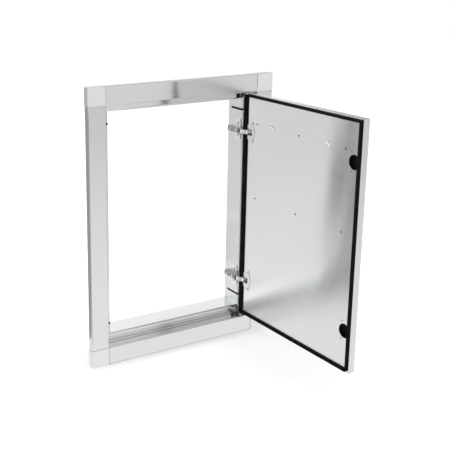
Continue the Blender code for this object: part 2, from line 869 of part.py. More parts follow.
def hinge_pins(name, level, material):
    place = hinge_place(level)
    reach = arm_height / 2 + pin_head
    pins = (("outer", outer_pin_standoff, outer_pin_depth), ("inner", inner_pin_standoff, inner_pin_depth))
    for kind, u, v in pins:
        mesh = bar(circle((u, v), pin_radius, coarse), lambda u: -reach, lambda u: reach,
                   lambda u, v, w: place(u, v, w))
        add_object(name + "_" + kind + "_pin", mesh, material)


def link_end(pin, pole_radius):
    # Where a link meets the door at rest: the swing axis lies on the line that halves the door's turn,
    # so the same link length serves the open and the closed door
    towards = math.atan2(pin.y - axis_y, pin.x - axis_x)
    angle = towards + open_angle / 2
    return Vector((axis_x + pole_radius * math.cos(angle), axis_y + pole_radius * math.sin(angle)))


def tube(centre, radius, half, steps):
    return bar(circle(centre, radius, steps), lambda u: -half, lambda u: half, lambda u, v, w: (u, v, w))


def hinge_link(name, level, material, pin, pole_radius, bends, sheet, height, barrel_height):
    # The link's origin is on its pin in the arm
    end = link_end(pin, pole_radius) - pin
    path = [(0.0, 0.0)] + [tuple(bend - pin) for bend in bends] + [tuple(end)]
    half = height / 2
    strip = folded_bar(path, [outer_link_bend_radius] * len(bends), sheet, lambda u: -half, lambda u: half,
                       lambda u, v, w: (u, v, w))
    barrel = tube((0.0, 0.0), link_barrel_radius, barrel_height / 2, fine)
    tip = tube(tuple(end), link_end_radius, half, coarse)
    mesh = combined(strip, [barrel, tip], "UNION")
    cutters = [tube((0.0, 0.0), pin_radius + pin_clearance, barrel_height / 2 + overrun, coarse)]
    if bends:
        # The tip is forked, and the inner link runs between its sides
        along = (end - Vector(path[-2])).normalized()
        across = Vector((-along.y, along.x)) * (link_end_radius + overrun)
        tail, nose = end - along * fork_length, end + along * (link_end_radius + overrun)
        outline = [tuple(tail - across), tuple(nose - across), tuple(nose + across), tuple(tail + across)]
        gap = inner_link_height / 2 + fork_clearance
        cutters.append(bar(outline, lambda u: -gap, lambda u: gap, lambda u, v, w: (u, v, w)))
    add_object(name, cut(mesh, cutters), material, location=(pin.x, pin.y, level))


def hinge_links(which, level, material):
    pin = Vector((jamb_right - outer_pin_standoff, front + outer_pin_depth))
    bends = [Vector((jamb_right - rear_bend_standoff, front + rear_bend_depth)),
             Vector((jamb_right - front_bend_standoff, front + front_bend_depth))]
    hinge_link(which + "_hinge_outer_link", level, material, pin, outer_link_pole_radius, bends,
               outer_link_sheet, outer_link_height, outer_link_height)
    pin = Vector((jamb_right - inner_pin_standoff, front + inner_pin_depth))
    hinge_link(which + "_hinge_inner_link", level, material, pin, inner_link_pole_radius, [],
               inner_link_sheet, inner_link_height, inner_barrel_height)


def hinge_cup(name, height, axis, material):
    # The cup is shaped level with the door's foot and then lifted
    s0, z0 = cup_from_edge, 0.0
    rim, inner = cup_radius, cup_radius - cup_wall
    brim = cup_radius + cup_flange_rim
    top_face = -seat_gap - cup_flange_thickness
    outside = [
        (0.0, top_face),
        (brim, top_face),
        (brim, -seat_gap),
        (rim, -seat_gap),
        (rim, cup_depth),
        (0.0, cup_depth),
    ]
    body = turned(outside, cup_sides, lambda x, y, d: door_point(s0 + x, d, z0 + y))
    first, second = cup_screw_places((s0, z0), 1)
    wings = door_prism(capsule(first, second, cup_wing_radius, bend_steps * 2), top_face, -seat_gap)
    # A lever for the soft closing stands on the cover below the slot
    lever_high = z0 - cup_lever_drop + cup_lever_height / 2
    lever_low = lever_high - cup_lever_height
    half = cup_lever_width / 2
    lever = door_prism(((s0 - half, lever_low), (s0 + half, lever_low), (s0 + half, lever_high),
                        (s0 - half, lever_high)), top_face - cup_lever_rise, top_face + seat_gap)
    mesh = combined(body, [wings, lever], "UNION")
    # The cup is hollow under its cover, and the links and the arm's nose go in through a slot
    hollow = door_round(s0, z0, inner, -seat_gap / 2, cup_depth - cup_wall, cup_sides)
    half = cup_slot_height / 2
    slot = door_prism(((s0 - inner, z0 - half), (s0 + cup_slot_reach, z0 - half),
                       (s0 + cup_slot_reach, z0 + half), (s0 - inner, z0 + half)),
                      top_face - overrun, overrun / 2)
    # The cover stops short of the seal's foot
    limit = seal_inset + seal_width + seat_gap
    reach = cup_radius * 2
    waste = door_prism(((s0 - reach, z0 - reach), (limit, z0 - reach), (limit, z0 + reach),
                        (s0 - reach, z0 + reach)), top_face - overrun, 0.0)
    mesh = combined(mesh, [hollow, slot, waste], "DIFFERENCE")
    cutters = [door_round(s0, z0 - cup_lever_hole_drop, cup_lever_hole_radius, top_face - overrun, overrun)]
    for s, z in cup_screw_places((s0, z0), 1):
        cutters.append(door_round(s, z, cup_screw_hole_radius, top_face - overrun, overrun))
    mesh = cut(mesh, cutters)
    # Two lugs stand in the cup, and the links' ends run between them
    near = outer_link_height / 2 + seat_gap
    far = near + cup_lug_sheet
    start = s0 - math.sqrt((rim - cup_wall / 4) ** 2 - far ** 2)
    lugs = []
    for low, high in ((z0 - far, z0 - near), (z0 + near, z0 + far)):
        outline = ((start, low), (start + cup_lug_reach, low), (start + cup_lug_reach, high), (start, high))
        lugs.append(door_prism(outline, cup_lug_recess, cup_depth - cup_wall / 2))
    mesh = combined(mesh, lugs, "UNION")
    mesh.transform(Matrix.Translation((0.0, 0.0, height)))
    add_object(name, mesh, material, parent=axis)


def cup_screws(name, height, axis, material):
    seat = -2 * seat_gap - cup_flange_thickness
    for end, (s, z) in zip(("bottom", "top"), cup_screw_places((cup_from_edge, height), 1)):
        mesh = screw_with_head(lambda x, y, d: door_point(s + x, seat + d, z + y),
                               cup_screw_head_radius, cup_screw_head_height,
                               cup_screw_shank_radius, cup_screw_length)
        add_object(name + "_" + end, mesh, material, parent=axis)


def build():
    clear_scene()
    brushed = make_material("brushed_steel", (0.62, 0.63, 0.65), 1.0, 0.34)
    panel = make_material("panel_steel", (0.60, 0.61, 0.63), 1.0, 0.30)
    cast = make_material("satin_cast", (0.80, 0.81, 0.82), 1.0, 0.42)
    plated = make_material("nickel_plate", (0.72, 0.72, 0.73), 1.0, 0.18)
    zinc = make_material("zinc_steel", (0.55, 0.56, 0.57), 1.0, 0.40)
    rubber = make_material("black_rubber", (0.012, 0.012, 0.013), 0.0, 0.65)
    nylon = make_material("black_nylon", (0.010, 0.010, 0.011), 0.0, 0.45)

    for side in ("left", "right"):
        frame_stile(side, brushed)
    for side in ("top", "bottom"):
        frame_rail(side, brushed)
    for name, place in corner_frames():
        corner_piece(name, place, cast)
    slot_plugs(nylon)

    axis = bpy.data.objects.new("door_swing_axis", None)
    bpy.context.scene.collection.objects.link(axis)
    axis.location = (axis_x, axis_y, door_bottom)
    axis.rotation_euler = (0.0, 0.0, open_angle)
    door_skin(axis, brushed)
    door_inner_panel(axis, panel)
    door_stiffeners(axis, zinc)
    door_seals(axis, rubber)
    door_fittings(axis, plated, brushed, nylon)

    for which, height in hinge_heights.items():
        prefix = which + "_hinge_"
        level = door_bottom + height
        hinge_plate(prefix + "plate", level, plated)
        plate_screws(prefix + "plate_screw", level, zinc)
        hinge_arm(prefix + "arm", level, plated)
        hinge_adjusters(prefix + "adjuster", level, zinc)
        hinge_pins(which + "_hinge", level, zinc)
        hinge_links(which, level, plated)
        hinge_cup(prefix + "cup", height, axis, plated)
        cup_screws(prefix + "cup_screw", height, axis, zinc)


build()
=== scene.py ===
import math

import bmesh
import bpy
from mathutils import Matrix, Vector


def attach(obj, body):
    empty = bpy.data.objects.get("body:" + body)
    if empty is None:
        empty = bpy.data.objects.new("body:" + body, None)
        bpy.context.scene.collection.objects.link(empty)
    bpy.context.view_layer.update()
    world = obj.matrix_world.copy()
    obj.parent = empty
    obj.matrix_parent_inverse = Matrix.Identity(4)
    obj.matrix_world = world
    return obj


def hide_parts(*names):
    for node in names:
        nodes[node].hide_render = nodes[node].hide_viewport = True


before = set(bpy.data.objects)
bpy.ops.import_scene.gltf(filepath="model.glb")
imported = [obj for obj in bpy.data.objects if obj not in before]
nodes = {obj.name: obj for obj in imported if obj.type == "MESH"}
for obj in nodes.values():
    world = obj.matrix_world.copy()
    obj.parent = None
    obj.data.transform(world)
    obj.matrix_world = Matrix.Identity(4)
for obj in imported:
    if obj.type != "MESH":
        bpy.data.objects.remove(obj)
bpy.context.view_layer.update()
print("frame loaded:", len(nodes), "solids")

quarter = math.pi / 2
overrun = 0.002         # cutters reach this far past what they cut
weldDistance = 1e-7
closeBy = 1e-5          # lengths this close count as the same
roundSteps = 24         # straight pieces to a small round
flatFaceArea = 0.0004   # larger faces are shaded flat
flatWeight = 80

# The camera is fitted to the long edges of the photographed frame and leaf
cameraView = {
    "focalPixels": 882.3, "centrePixels": (160.0, 180.0), "imagePixels": 452, "sensorWidth": 36.0,
    "turnDegrees": 29.724, "dropDegrees": 14.932, "rollDegrees": -0.171, "distance": 2.213273,
    "target": (0.0, -0.018, 0.343), "offAxis": (0.027275, 0.043499), "clip": (0.05, 60.0),
}


def newObject(name, data):
    item = bpy.data.objects.new(name, data)
    bpy.context.scene.collection.objects.link(item)
    return item


def assign(item, **values):
    for label, value in values.items():
        setattr(item, label, value)
    return item


def makeCamera(view):
    turn, drop, roll = (math.radians(view[label]) for label in ("turnDegrees", "dropDegrees", "rollDegrees"))
    ahead = Vector((math.sin(turn) * math.cos(drop), math.cos(turn) * math.cos(drop), -math.sin(drop)))
    right = Vector((math.cos(turn), -math.sin(turn), 0.0))
    down = ahead.cross(right)
    rolledRight = right * math.cos(roll) + down * math.sin(roll)
    rolledDown = down * math.cos(roll) - right * math.sin(roll)
    x, y = view["offAxis"]
    place = Vector(view["target"]) - view["distance"] * (ahead + rolledRight * x + rolledDown * y)
    pixels, sensor, (centreX, centreY) = view["imagePixels"], view["sensorWidth"], view["centrePixels"]
    data = assign(bpy.data.cameras.new("photoCamera"), sensor_width=sensor,
                  lens=view["focalPixels"] * sensor / pixels, shift_x=(pixels / 2 - centreX) / pixels,
                  shift_y=(centreY - pixels / 2) / pixels, clip_start=view["clip"][0],
                  clip_end=view["clip"][1])
    camera = newObject("photoCamera", data)
    turned = Matrix((rolledRight, -rolledDown, -ahead)).transposed()
    camera.matrix_world = Matrix.Translation(place) @ turned.to_4x4()
    bpy.context.scene.camera = camera


makeCamera(cameraView)


# Outlines, as lists of (u, v) points

def arcPoints(centre, radius, start, end, steps):
    angles = [start + (end - start) * step / steps for step in range(steps + 1)]
    return [(centre[0] + radius * math.cos(angle), centre[1] + radius * math.sin(angle)) for angle in angles]


def circlePoints(centre, radius, steps=roundSteps):
    return arcPoints(centre, radius, 0.0, 2 * math.pi, steps)[:-1]


def capsulePoints(first, second, radius, steps):
    along = math.atan2(second[1] - first[1], second[0] - first[0])
    return (arcPoints(second, radius, along - quarter, along + quarter, steps)
            + arcPoints(first, radius, along + quarter, along + 3 * quarter, steps))


def roundedRectangle(low, high, radius, steps):
    x, y = ((low[axis] + radius, high[axis] - radius) for axis in (0, 1))
    points = []
    for number, (atX, atY) in enumerate(((1, 1), (0, 1), (0, 0), (1, 0))):
        points += arcPoints((x[atX], y[atY]), radius, number * quarter, (number + 1) * quarter, steps)
    return points


def rectangle(low, high):
    return [(low[0], low[1]), (high[0], low[1]), (high[0], high[1]), (low[0], high[1])]


def rodProfile(half, radius, edge, steps):
    return ([(0.0, -half)] + arcPoints((radius - edge, -half + edge), edge, -quarter, 0.0, steps)
            + arcPoints((radius - edge, half - edge), edge, 0.0, quarter, steps) + [(0.0, half)])


# Solids; each place turns three lengths into a point of the part

def toMesh(shape, weld=True):
    if weld:
        bmesh.ops.remove_doubles(shape, verts=shape.verts[:], dist=weldDistance)
    bmesh.ops.recalc_face_normals(shape, faces=shape.faces[:])
    mesh = bpy.data.meshes.new("shape")
    shape.to_mesh(mesh)
    shape.free()
    return mesh


def stackedRings(rings):
    # Joins closed rings of one count into a solid
    shape = bmesh.new()
    rings = [[shape.verts.new(point) for point in ring] for ring in rings]
    for first, second in zip(rings[:-1], rings[1:]):
        for corners in zip(first, first[1:] + first[:1], second[1:] + second[:1], second):
            shape.faces.new(corners)
    shape.faces.new(rings[0])
    shape.faces.new(rings[-1][::-1])
    return toMesh(shape)


def straightBar(outline, low, high, place):
    return stackedRings([[place(u, v, w) for u, v in outline] for w in (low, high)])


def blockOf(low, high, place):
    return straightBar(rectangle(low, high), low[2], high[2], place)


def holesThrough(outlines, low, high, place):
    return [straightBar(outline, low - overrun, high + overrun, place) for outline in outlines]


def turnedPlace(place):
    # Lets a bar run along u
    return lambda v, w, u: place(u, v, w)


def bentStations(path, radii, steps):
    # Round bends at the inner points of a path, as (point, left normal) pairs
    points = [Vector(point) for point in path]
    normals = []
    for first, second in zip(points[:-1], points[1:]):
        along = (second - first).normalized()
        normals.append(Vector((-along.y, along.x)))
    stations = [(points[0], normals[0])]
    for corner, radius, before, after in zip(points[1:-1], radii, normals[:-1], normals[1:]):
        turn = math.atan2(before.x * after.y - before.y * after.x, before.dot(after))
        side = 1.0 if turn > 0 else -1.0
        incoming = Vector((before.y, -before.x))
        centre = corner - incoming * radius * math.tan(abs(turn) / 2) + before * radius * side
        for step in range(steps + 1):
            normal = Matrix.Rotation(turn * step / steps, 2) @ before
            stations.append((centre - normal * radius * side, normal))
    return stations + [(points[-1], normals[-1])]


def foldedStrip(path, radii, sheet, startOf, endOf, place, steps):
    shape = bmesh.new()
    rings = []
    for point, normal in bentStations(path, radii, steps):
        sides = [point + normal * sheet * side for side in (0.5, -0.5)]
        rings.append([[shape.verts.new(place(u, v, limit(u))) for limit in (startOf, endOf)]
                      for u, v in sides])
    for first, second in zip(rings[:-1], rings[1:]):
        for side in (0, 1):
            shape.faces.new((first[side][0], second[side][0], second[side][1], first[side][1]))
        for end in (0, 1):
            shape.faces.new((first[0][end], second[0][end], second[1][end], first[1][end]))
    for ring in (rings[0], rings[-1]):
        shape.faces.new((ring[0][0], ring[0][1], ring[1][1], ring[1][0]))
    return toMesh(shape)


def lathe(profile, steps, place):
    # A closed (radius, height) outline turned about its axis
    shape = bmesh.new()
    rings = []
    for step in range(steps):
        angle = 2 * math.pi * step / steps
        x, y = math.cos(angle), math.sin(angle)
        rings.append([shape.verts.new(place(r * x, r * y, h)) for r, h in profile])
    for near, far in zip(rings, rings[1:] + rings[:1]):
        for index in range(len(profile)):
            following = (index + 1) % len(profile)
            if profile[index][0] > 0.0 or profile[following][0] > 0.0:
                shape.faces.new((near[index], near[following], far[following], far[index]))
    return toMesh(shape)


def joinMeshes(meshes):
    shape = bmesh.new()
    for mesh in meshes:
        shape.from_mesh(mesh)
    return toMesh(shape, False)


def evaluatedMesh(item):
    bpy.context.view_layer.update()
    evaluated = item.evaluated_get(bpy.context.evaluated_depsgraph_get())
    return bpy.data.meshes.new_from_object(evaluated)


def combine(base, others, operation):
    helpers = [newObject("work", mesh) for mesh in (base, *others)]
    for helper in helpers[1:]:
        modifier = helpers[0].modifiers.new("combine", "BOOLEAN")
        assign(modifier, operation=operation, solver="EXACT", object=helper)
    result = evaluatedMesh(helpers[0])
    for helper in helpers:
        bpy.data.objects.remove(helper, do_unlink=True)
    return result


def cutAway(base, cutters):
    return combine(base, [joinMeshes(cutters)], "DIFFERENCE")


def finishPiece(name, mesh, look, body, replaced, edgeRound=None):
    material, slotName = looks[look]
    mesh.materials.clear()
    mesh.materials.append(material)
    mesh.shade_smooth()
    for face in mesh.polygons:
        if face.area > flatFaceArea:
            face.use_smooth = False
    work = newObject("work", mesh)
    if edgeRound:
        width, segments, angle = edgeRound
        assign(work.modifiers.new("edgeRound", "BEVEL"), width=width, segments=segments, limit_method="ANGLE",
               angle_limit=math.radians(angle), miter_outer="MITER_ARC")
    assign(work.modifiers.new("flatShading", "WEIGHTED_NORMAL"), keep_sharp=True, weight=flatWeight)
    finished = evaluatedMesh(work)
    bpy.data.objects.remove(work, do_unlink=True)
    piece = newObject(name, finished)
    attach(piece, body)
    if replaced:
        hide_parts(*replaced)


# Node trees: an input takes a value, or the socket that it is linked to

def feed(tree, node, inputs):
    for label, value in inputs.items():
        if isinstance(value, bpy.types.NodeSocket):
            tree.links.new(value, node.inputs[label])
        else:
            node.inputs[label].default_value = value
    return node


def addNode(tree, kind, inputs=None, **settings):
    return feed(tree, assign(tree.nodes.new(kind), **settings), inputs or {})


def maths(tree, operation, *operands):
    return addNode(tree, "ShaderNodeMath", dict(enumerate(operands)), operation=operation).outputs[0]


def vectorOf(tree, x=0.0, y=0.0, z=0.0):
    return addNode(tree, "ShaderNodeCombineXYZ", {"X": x, "Y": y, "Z": z}).outputs["Vector"]


def newTree(name, labels):
    kinds = {"Geometry": "NodeSocketGeometry", "Turn Seed": "NodeSocketInt", "Finish": "NodeSocketMaterial"}
    tree = bpy.data.node_groups.new(name, "GeometryNodeTree")
    for label in ("Geometry", *labels):
        tree.interface.new_socket(label, in_out="INPUT", socket_type=kinds.get(label, "NodeSocketFloat"))
    tree.interface.new_socket("Geometry", in_out="OUTPUT", socket_type=kinds["Geometry"])
    return tree, tree.nodes.new("NodeGroupInput").outputs


def closeTree(tree, geometry, finish):
    realized = addNode(tree, "GeometryNodeRealizeInstances", {"Geometry": geometry})
    finished = addNode(tree, "GeometryNodeSetMaterial", {"Geometry": realized.outputs["Geometry"],
                                                         "Material": finish})
    addNode(tree, "NodeGroupOutput", {"Geometry": finished.outputs["Geometry"]})
    return tree


def runTree(mesh, tree, values):
    holder = newObject("work", mesh)
    modifier = assign(holder.modifiers.new("build", "NODES"), node_group=tree)
    for item in tree.interface.items_tree:
        if item.item_type == "SOCKET" and item.in_out == "INPUT" and item.name in values:
            modifier[item.identifier] = values[item.name]
    result = evaluatedMesh(holder)
    bpy.data.objects.remove(holder, do_unlink=True)
    return result


# Finishes
edgeSizes = {"reach": 0.0006, "samples": 4, "flat": 0.98, "sharp": 0.80}


def lookTree(name):
    look = assign(bpy.data.materials.new(name), use_nodes=True)
    return look, look.node_tree, look.node_tree.nodes["Principled BSDF"]


def noiseOver(tree, scale, detail, roughness=0.55, stretch=(1.0, 1.0, 1.0)):
    place = addNode(tree, "ShaderNodeTexCoord").outputs["Object"]
    mapped = addNode(tree, "ShaderNodeMapping", {"Vector": place, "Scale": stretch}).outputs["Vector"]
    return addNode(tree, "ShaderNodeTexNoise", {"Scale": scale, "Detail": detail, "Roughness": roughness,
                                                "Vector": mapped}).outputs["Fac"]


def ranged(tree, source, low, high, fromLow=0.3, fromHigh=0.7):
    return addNode(tree, "ShaderNodeMapRange", {"From Min": fromLow, "From Max": fromHigh, "To Min": low,
                                                "To Max": high, "Value": source}).outputs["Result"]


def mixedColour(tree, factor, *colours):
    first, second = [(*colour, 1.0) if isinstance(colour, tuple) else colour for colour in colours]
    return addNode(tree, "ShaderNodeMix", {0: factor, 6: first, 7: second}, data_type="RGBA").outputs[2]


def edgeMask(tree):
    # Near an edge the rounded normal leaves the face's own
    own = addNode(tree, "ShaderNodeNewGeometry").outputs["Normal"]
    rounded = addNode(tree, "ShaderNodeBevel", {"Radius": edgeSizes["reach"]}, samples=edgeSizes["samples"])
    agreement = addNode(tree, "ShaderNodeVectorMath", {0: own, 1: rounded.outputs["Normal"]},
                        operation="DOT_PRODUCT")
    return ranged(tree, agreement.outputs["Value"], 0.0, 1.0, edgeSizes["flat"], edgeSizes["sharp"])


def paler(tint, factor):
    return tuple(min(1.0, part * factor) for part in tint)


def surfaceLook(name, noises, coats, rubbed, gloss, bump, extra):
    # Coats of colour, rubbed edges, roughness from two noises, and a bump
    look, tree, shader = lookTree(name)
    values = {label: noiseOver(tree, *settings) for label, settings in noises.items()}
    colour = coats[0]
    for label, span, tint in coats[1:]:
        colour = mixedColour(tree, ranged(tree, values[label], *span), colour, tint)
    source, strength, depth = bump
    raised = addNode(tree, "ShaderNodeBump", {
        "Strength": strength, "Distance": depth, "Height": values[source]})
    feed(tree, shader, {
        "Base Color": mixedColour(tree, edgeMask(tree), colour, rubbed),
        "Roughness": maths(tree, "ADD", *[ranged(tree, values[label], *span) for label, span in gloss]),
        "Normal": raised.outputs["Normal"], **extra})
    return look, tree, shader


brushedSizes = {
    "across": 1500.0,       # brush lines to the metre, about 0.7 mm apart
    "along": 9.0, "streakAcross": 250.0, "streakAlong": 1.125, "cloud": 5.0, "lineDepth": 0.000008,
    "lean": (0.01, 0.02, 0.015), "swingShare": 0.16, "lineStrength": 0.35, "rubbed": 1.15,
    "smear": {"Anisotropic": 0.97, "Anisotropic Rotation": 0.25},
}


def stretchAlong(axis, across, along):
    return tuple(along if index == axis else across for index in range(3))


def brushedSteel(name, axis, bright, deep, roughness):
    # Satin sheet: long brush lines along one axis, soft clouds, paler rubbed edges
    sizes = brushedSizes
    swing = roughness * sizes["swingShare"]
    noises = {"lines": (1.0, 3.0, 0.6, stretchAlong(axis, sizes["across"], sizes["along"])),
              "streaks": (1.0, 2.0, 0.5, stretchAlong(axis, sizes["streakAcross"], sizes["streakAlong"])),
              "cloud": (sizes["cloud"], 3.0)}
    look, tree, shader = surfaceLook(
        name, noises, [deep, ("lines", (0.0, 1.0), bright), ("cloud", (0.0, 0.5), bright)],
        paler(bright, sizes["rubbed"]),
        [("lines", (roughness - swing, roughness + swing)), ("streaks", (-swing / 3, swing / 3))],
        ("lines", sizes["lineStrength"], sizes["lineDepth"]), {"Metallic": 1.0})
    # The grain smears reflections across itself
    grain = tuple(1.0 if index == axis else lean for index, lean in enumerate(sizes["lean"]))
    along = addNode(tree, "ShaderNodeVectorTransform", {"Vector": grain}, vector_type="VECTOR",
                    convert_from="OBJECT", convert_to="WORLD")
    feed(tree, shader, {"Tangent": along.outputs["Vector"], **sizes["smear"]})
    return look


def satinCast(name):
    # Blasted die-cast corner: fine even grit, a few faint pits, polished at the edges
    noises = {"grit": (900.0, 4.0, 0.7), "pits": (160.0, 2.0), "cloud": (22.0, 2.0)}
    deep, middle, bright, rubbed = ((tone,) * 3 for tone in (0.79, 0.85, 0.88, 0.95))
    return surfaceLook(
        name, noises, [deep, ("grit", (0.0, 1.0), middle), ("cloud", (0.0, 0.4), bright)], rubbed,
        [("grit", (0.44, 0.54)), ("pits", (-0.03, 0.03))], ("grit", 0.4, 0.00004), {"Metallic": 1.0})[0]


def platedSteel(name, bright, deep, roughness, bumpDepth=0.00003):
    # Plated stamping: faint drawing marks, mottled plating and worn edges
    noises = {"mottle": (120.0, 4.0, 0.6), "marks": (1.0, 3.0, 0.6, (260.0, 260.0, 1900.0))}
    return surfaceLook(
        name, noises, [deep, ("mottle", (0.0, 1.0), bright)], paler(bright, 1.2),
        [("mottle", (roughness * 0.8, roughness * 1.2)), ("marks", (-0.03, 0.04))], ("marks", 0.3, bumpDepth),
        {"Metallic": 1.0})[0]


def darkPlastic(name, roughness, shine, grain, grainDepth):
    # Rubber or nylon: moulded grain, dusty patches and scuffed edges
    noises = {"texture": (grain, 3.0, 0.6), "patches": (45.0, 3.0)}
    tint, dust = (0.004, 0.004, 0.005), (0.010, 0.010, 0.011)
    return surfaceLook(
        name, noises, [tint, ("patches", (0.0, 1.0, 0.42, 0.75), dust)], paler(dust, 1.8),
        [("patches", (roughness - 0.06, roughness + 0.06)), ("texture", (-0.04, 0.04))],
        ("texture", 0.4, grainDepth), {"Specular IOR Level": shine})[0]


# Each finish with the material slot that it stands for
frameTones = (0.785, 0.79, 0.795), (0.75, 0.755, 0.765)
looks = {
    "stile": (brushedSteel("stileSteel", 2, *frameTones, 0.15), "brushed_steel"),
    "rail": (brushedSteel("railSteel", 0, *frameTones, 0.15), "brushed_steel"),
    "doorSkin": (brushedSteel("doorSkinSteel", 2, (0.79, 0.795, 0.80), (0.755, 0.76, 0.77), 0.16),
                 "brushed_steel"),
    "doorPanel": (brushedSteel("doorPanelSteel", 1, (0.785, 0.788, 0.79), (0.75, 0.753, 0.76), 0.16),
                  "panel_steel"),
    "handle": (brushedSteel("handleSteel", 1, (0.74, 0.745, 0.75), (0.68, 0.685, 0.69), 0.20),
               "brushed_steel"),
    "corner": (satinCast("cornerCast"), "satin_cast"),
    "cup": (platedSteel("cupNickel", (0.80, 0.805, 0.81), (0.72, 0.725, 0.73), 0.18), "nickel_plate"),
    "nickel": (platedSteel("hingeNickel", (0.88, 0.88, 0.88), (0.79, 0.79, 0.795), 0.18), "nickel_plate"),
    "link": (platedSteel("linkNickel", (0.99, 0.99, 0.985), (0.95, 0.95, 0.945), 0.24), "nickel_plate"),
    "arm": (platedSteel("armNickel", (0.37, 0.37, 0.375), (0.28, 0.28, 0.29), 0.22), "nickel_plate"),
    "screwHead": (platedSteel("screwHeadNickel", (0.95, 0.95, 0.945), (0.88, 0.88, 0.88), 0.13),
                  "nickel_plate"),
    "zinc": (platedSteel("zincSteel", (0.62, 0.63, 0.64), (0.50, 0.51, 0.53), 0.36, 0.00005), "zinc_steel"),
    "screw": (platedSteel("screwZinc", (0.82, 0.82, 0.81), (0.68, 0.68, 0.68), 0.22), "zinc_steel"),
    "rubber": (darkPlastic("sealRubber", 0.80, 0.06, 700.0, 0.00005), "black_rubber"),
    "nylon": (darkPlastic("plugNylon", 0.55, 0.12, 900.0, 0.00004), "black_nylon"),
}
print("finishes:", len(looks))


# Face frame: four folded sides
frameSizes = {
    "width": 0.520, "height": 0.698, "stileWidth": 0.046, "railWidth": 0.045, "returnDepth": 0.018,
    "hem": 0.012, "recess": 0.033, "lip": 0.021, "jamb": 0.097, "rearReturn": 0.012,
    "sheet": 0.0012, "bend": 0.0015, "lipBend": 0.0042, "bendSteps": 8, "edgeRound": (0.00028, 2, 38.0),
    "stileGap": 0.0003, "railGap": 0.0008,
    "seamFromLip": 0.0056, "seamWidth": 0.0022, "seamDepth": 0.0008, "seamShadeStripGap": 0.0001,
}
frameLeft, frameRight = -frameSizes["width"] / 2, frameSizes["width"] / 2
frameBottom = -frameSizes["hem"] / 2
frameTop = frameBottom + frameSizes["height"]
frameFront = -frameSizes["returnDepth"]
jambRight = frameRight - frameSizes["stileWidth"] - frameSizes["lip"]

slotSizes = {"fromEnd": 0.095, "height": 0.0057, "front": 0.027, "rear": 0.084, "wrap": 0.005, "steps": 10}
plateHoles = {"depth": 0.049, "spacing": 0.032, "radius": 0.0024}
hingeLevels = {"lower": 0.142, "upper": 0.544}


def sidePlace(side):
    if side in ("left", "right"):
        edge, sign = (frameLeft, 1.0) if side == "left" else (frameRight, -1.0)
        return lambda u, v, w: (edge + sign * u, frameFront + v, frameBottom + w)
    edge, sign = (frameBottom, 1.0) if side == "bottom" else (frameTop, -1.0)
    return lambda u, v, w: (frameLeft + w, frameFront + v, edge + sign * u)


def frameSide(faceWidth, cornerLength, gap, length, place):
    sizes = frameSizes
    half = sizes["sheet"] / 2
    inner = faceWidth + sizes["lip"]
    rear, step, end = sizes["returnDepth"] - half, sizes["recess"] + half, sizes["jamb"] - half
    path = [(sizes["hem"], rear), (half, rear), (half, half), (faceWidth - half, half),
            (faceWidth - half, step), (inner - half, step), (inner - half, end),
            (inner - sizes["rearReturn"], end)]
    radii = [sizes["bend"]] * 4 + [sizes["lipBend"], sizes["bend"]]

    def startOf(u):
        return cornerLength + gap + max(0.0, u - faceWidth)

    return foldedStrip(path, radii, sizes["sheet"], startOf, lambda u: length - startOf(u), place,
                       sizes["bendSteps"])


def stileCutters(place):
    inner, half = frameSizes["stileWidth"] + frameSizes["lip"], slotSizes["height"] / 2
    front, rear = slotSizes["front"] + half, slotSizes["rear"] - half
    slots = [capsulePoints((front, height), (rear, height), half, slotSizes["steps"])
             for height in (slotSizes["fromEnd"], frameSizes["height"] - slotSizes["fromEnd"])]
    holes = [circlePoints((plateHoles["depth"], level - frameBottom + side * plateHoles["spacing"] / 2),
                          plateHoles["radius"]) for level in hingeLevels.values() for side in (-1, 1)]
    turned = turnedPlace(place)
    return ([straightBar(slot, inner - slotSizes["wrap"], inner + overrun, turned) for slot in slots]
            + holesThrough(holes, inner - frameSizes["sheet"], inner, turned))


def seamBar(faceWidth, start, stop, place, inset, above):
    # A seam runs along the recess in front of the lip: a groove with a black strip in it, painted shade that
    # makes the groove read dark
    rear = frameSizes["recess"] - frameSizes["seamFromLip"]
    outline = rectangle((faceWidth - frameSizes["seamDepth"] + inset, rear - frameSizes["seamWidth"] + inset),
                        (faceWidth + above, rear - inset))
    return straightBar(outline, start, stop, place)


def makeFrameSides(kind, names, faceWidth, crossWidth, gap, length):
    shadeStripGap, shadeStripEnd = frameSizes["seamShadeStripGap"], crossWidth + frameSizes["seamWidth"]
    for side in names:
        place = sidePlace(side)
        cutters = stileCutters(place) if kind == "stile" else []
        cutters.append(seamBar(faceWidth, 0.0, length, place, 0.0, overrun))
        mesh = cutAway(frameSide(faceWidth, crossWidth, gap, length, place), cutters)
        finishPiece(kind + "Folded_" + side, mesh, kind, "frame", ["frame_" + kind + "_" + side],
                    frameSizes["edgeRound"])
        # The black strip laid in the groove is painted shade
        shadeStrip = seamBar(faceWidth, shadeStripEnd, length - shadeStripEnd, place, shadeStripGap, -shadeStripGap)
        finishPiece("seamShadeStrip_" + side, shadeStrip, "nylon", "frame", [])


makeFrameSides("stile", ("left", "right"), frameSizes["stileWidth"], frameSizes["railWidth"],
               frameSizes["stileGap"], frameSizes["height"])
makeFrameSides("rail", ("top", "bottom"), frameSizes["railWidth"], frameSizes["stileWidth"],
               frameSizes["railGap"], frameSizes["width"])
print("frame sides folded")

# Corner pieces between the sides, with their tongues
cornerSizes = {
    "proud": 0.0006, "gap": 0.0003, "wall": 0.003, "round": 0.0020, "roundSteps": 6,
    "tongueInset": 0.0035, "tongueWidth": 0.030, "tongueLength": 0.026, "tongueFront": 0.0016,
    "edgeRound": (0.00035, 2, 50.0),
}


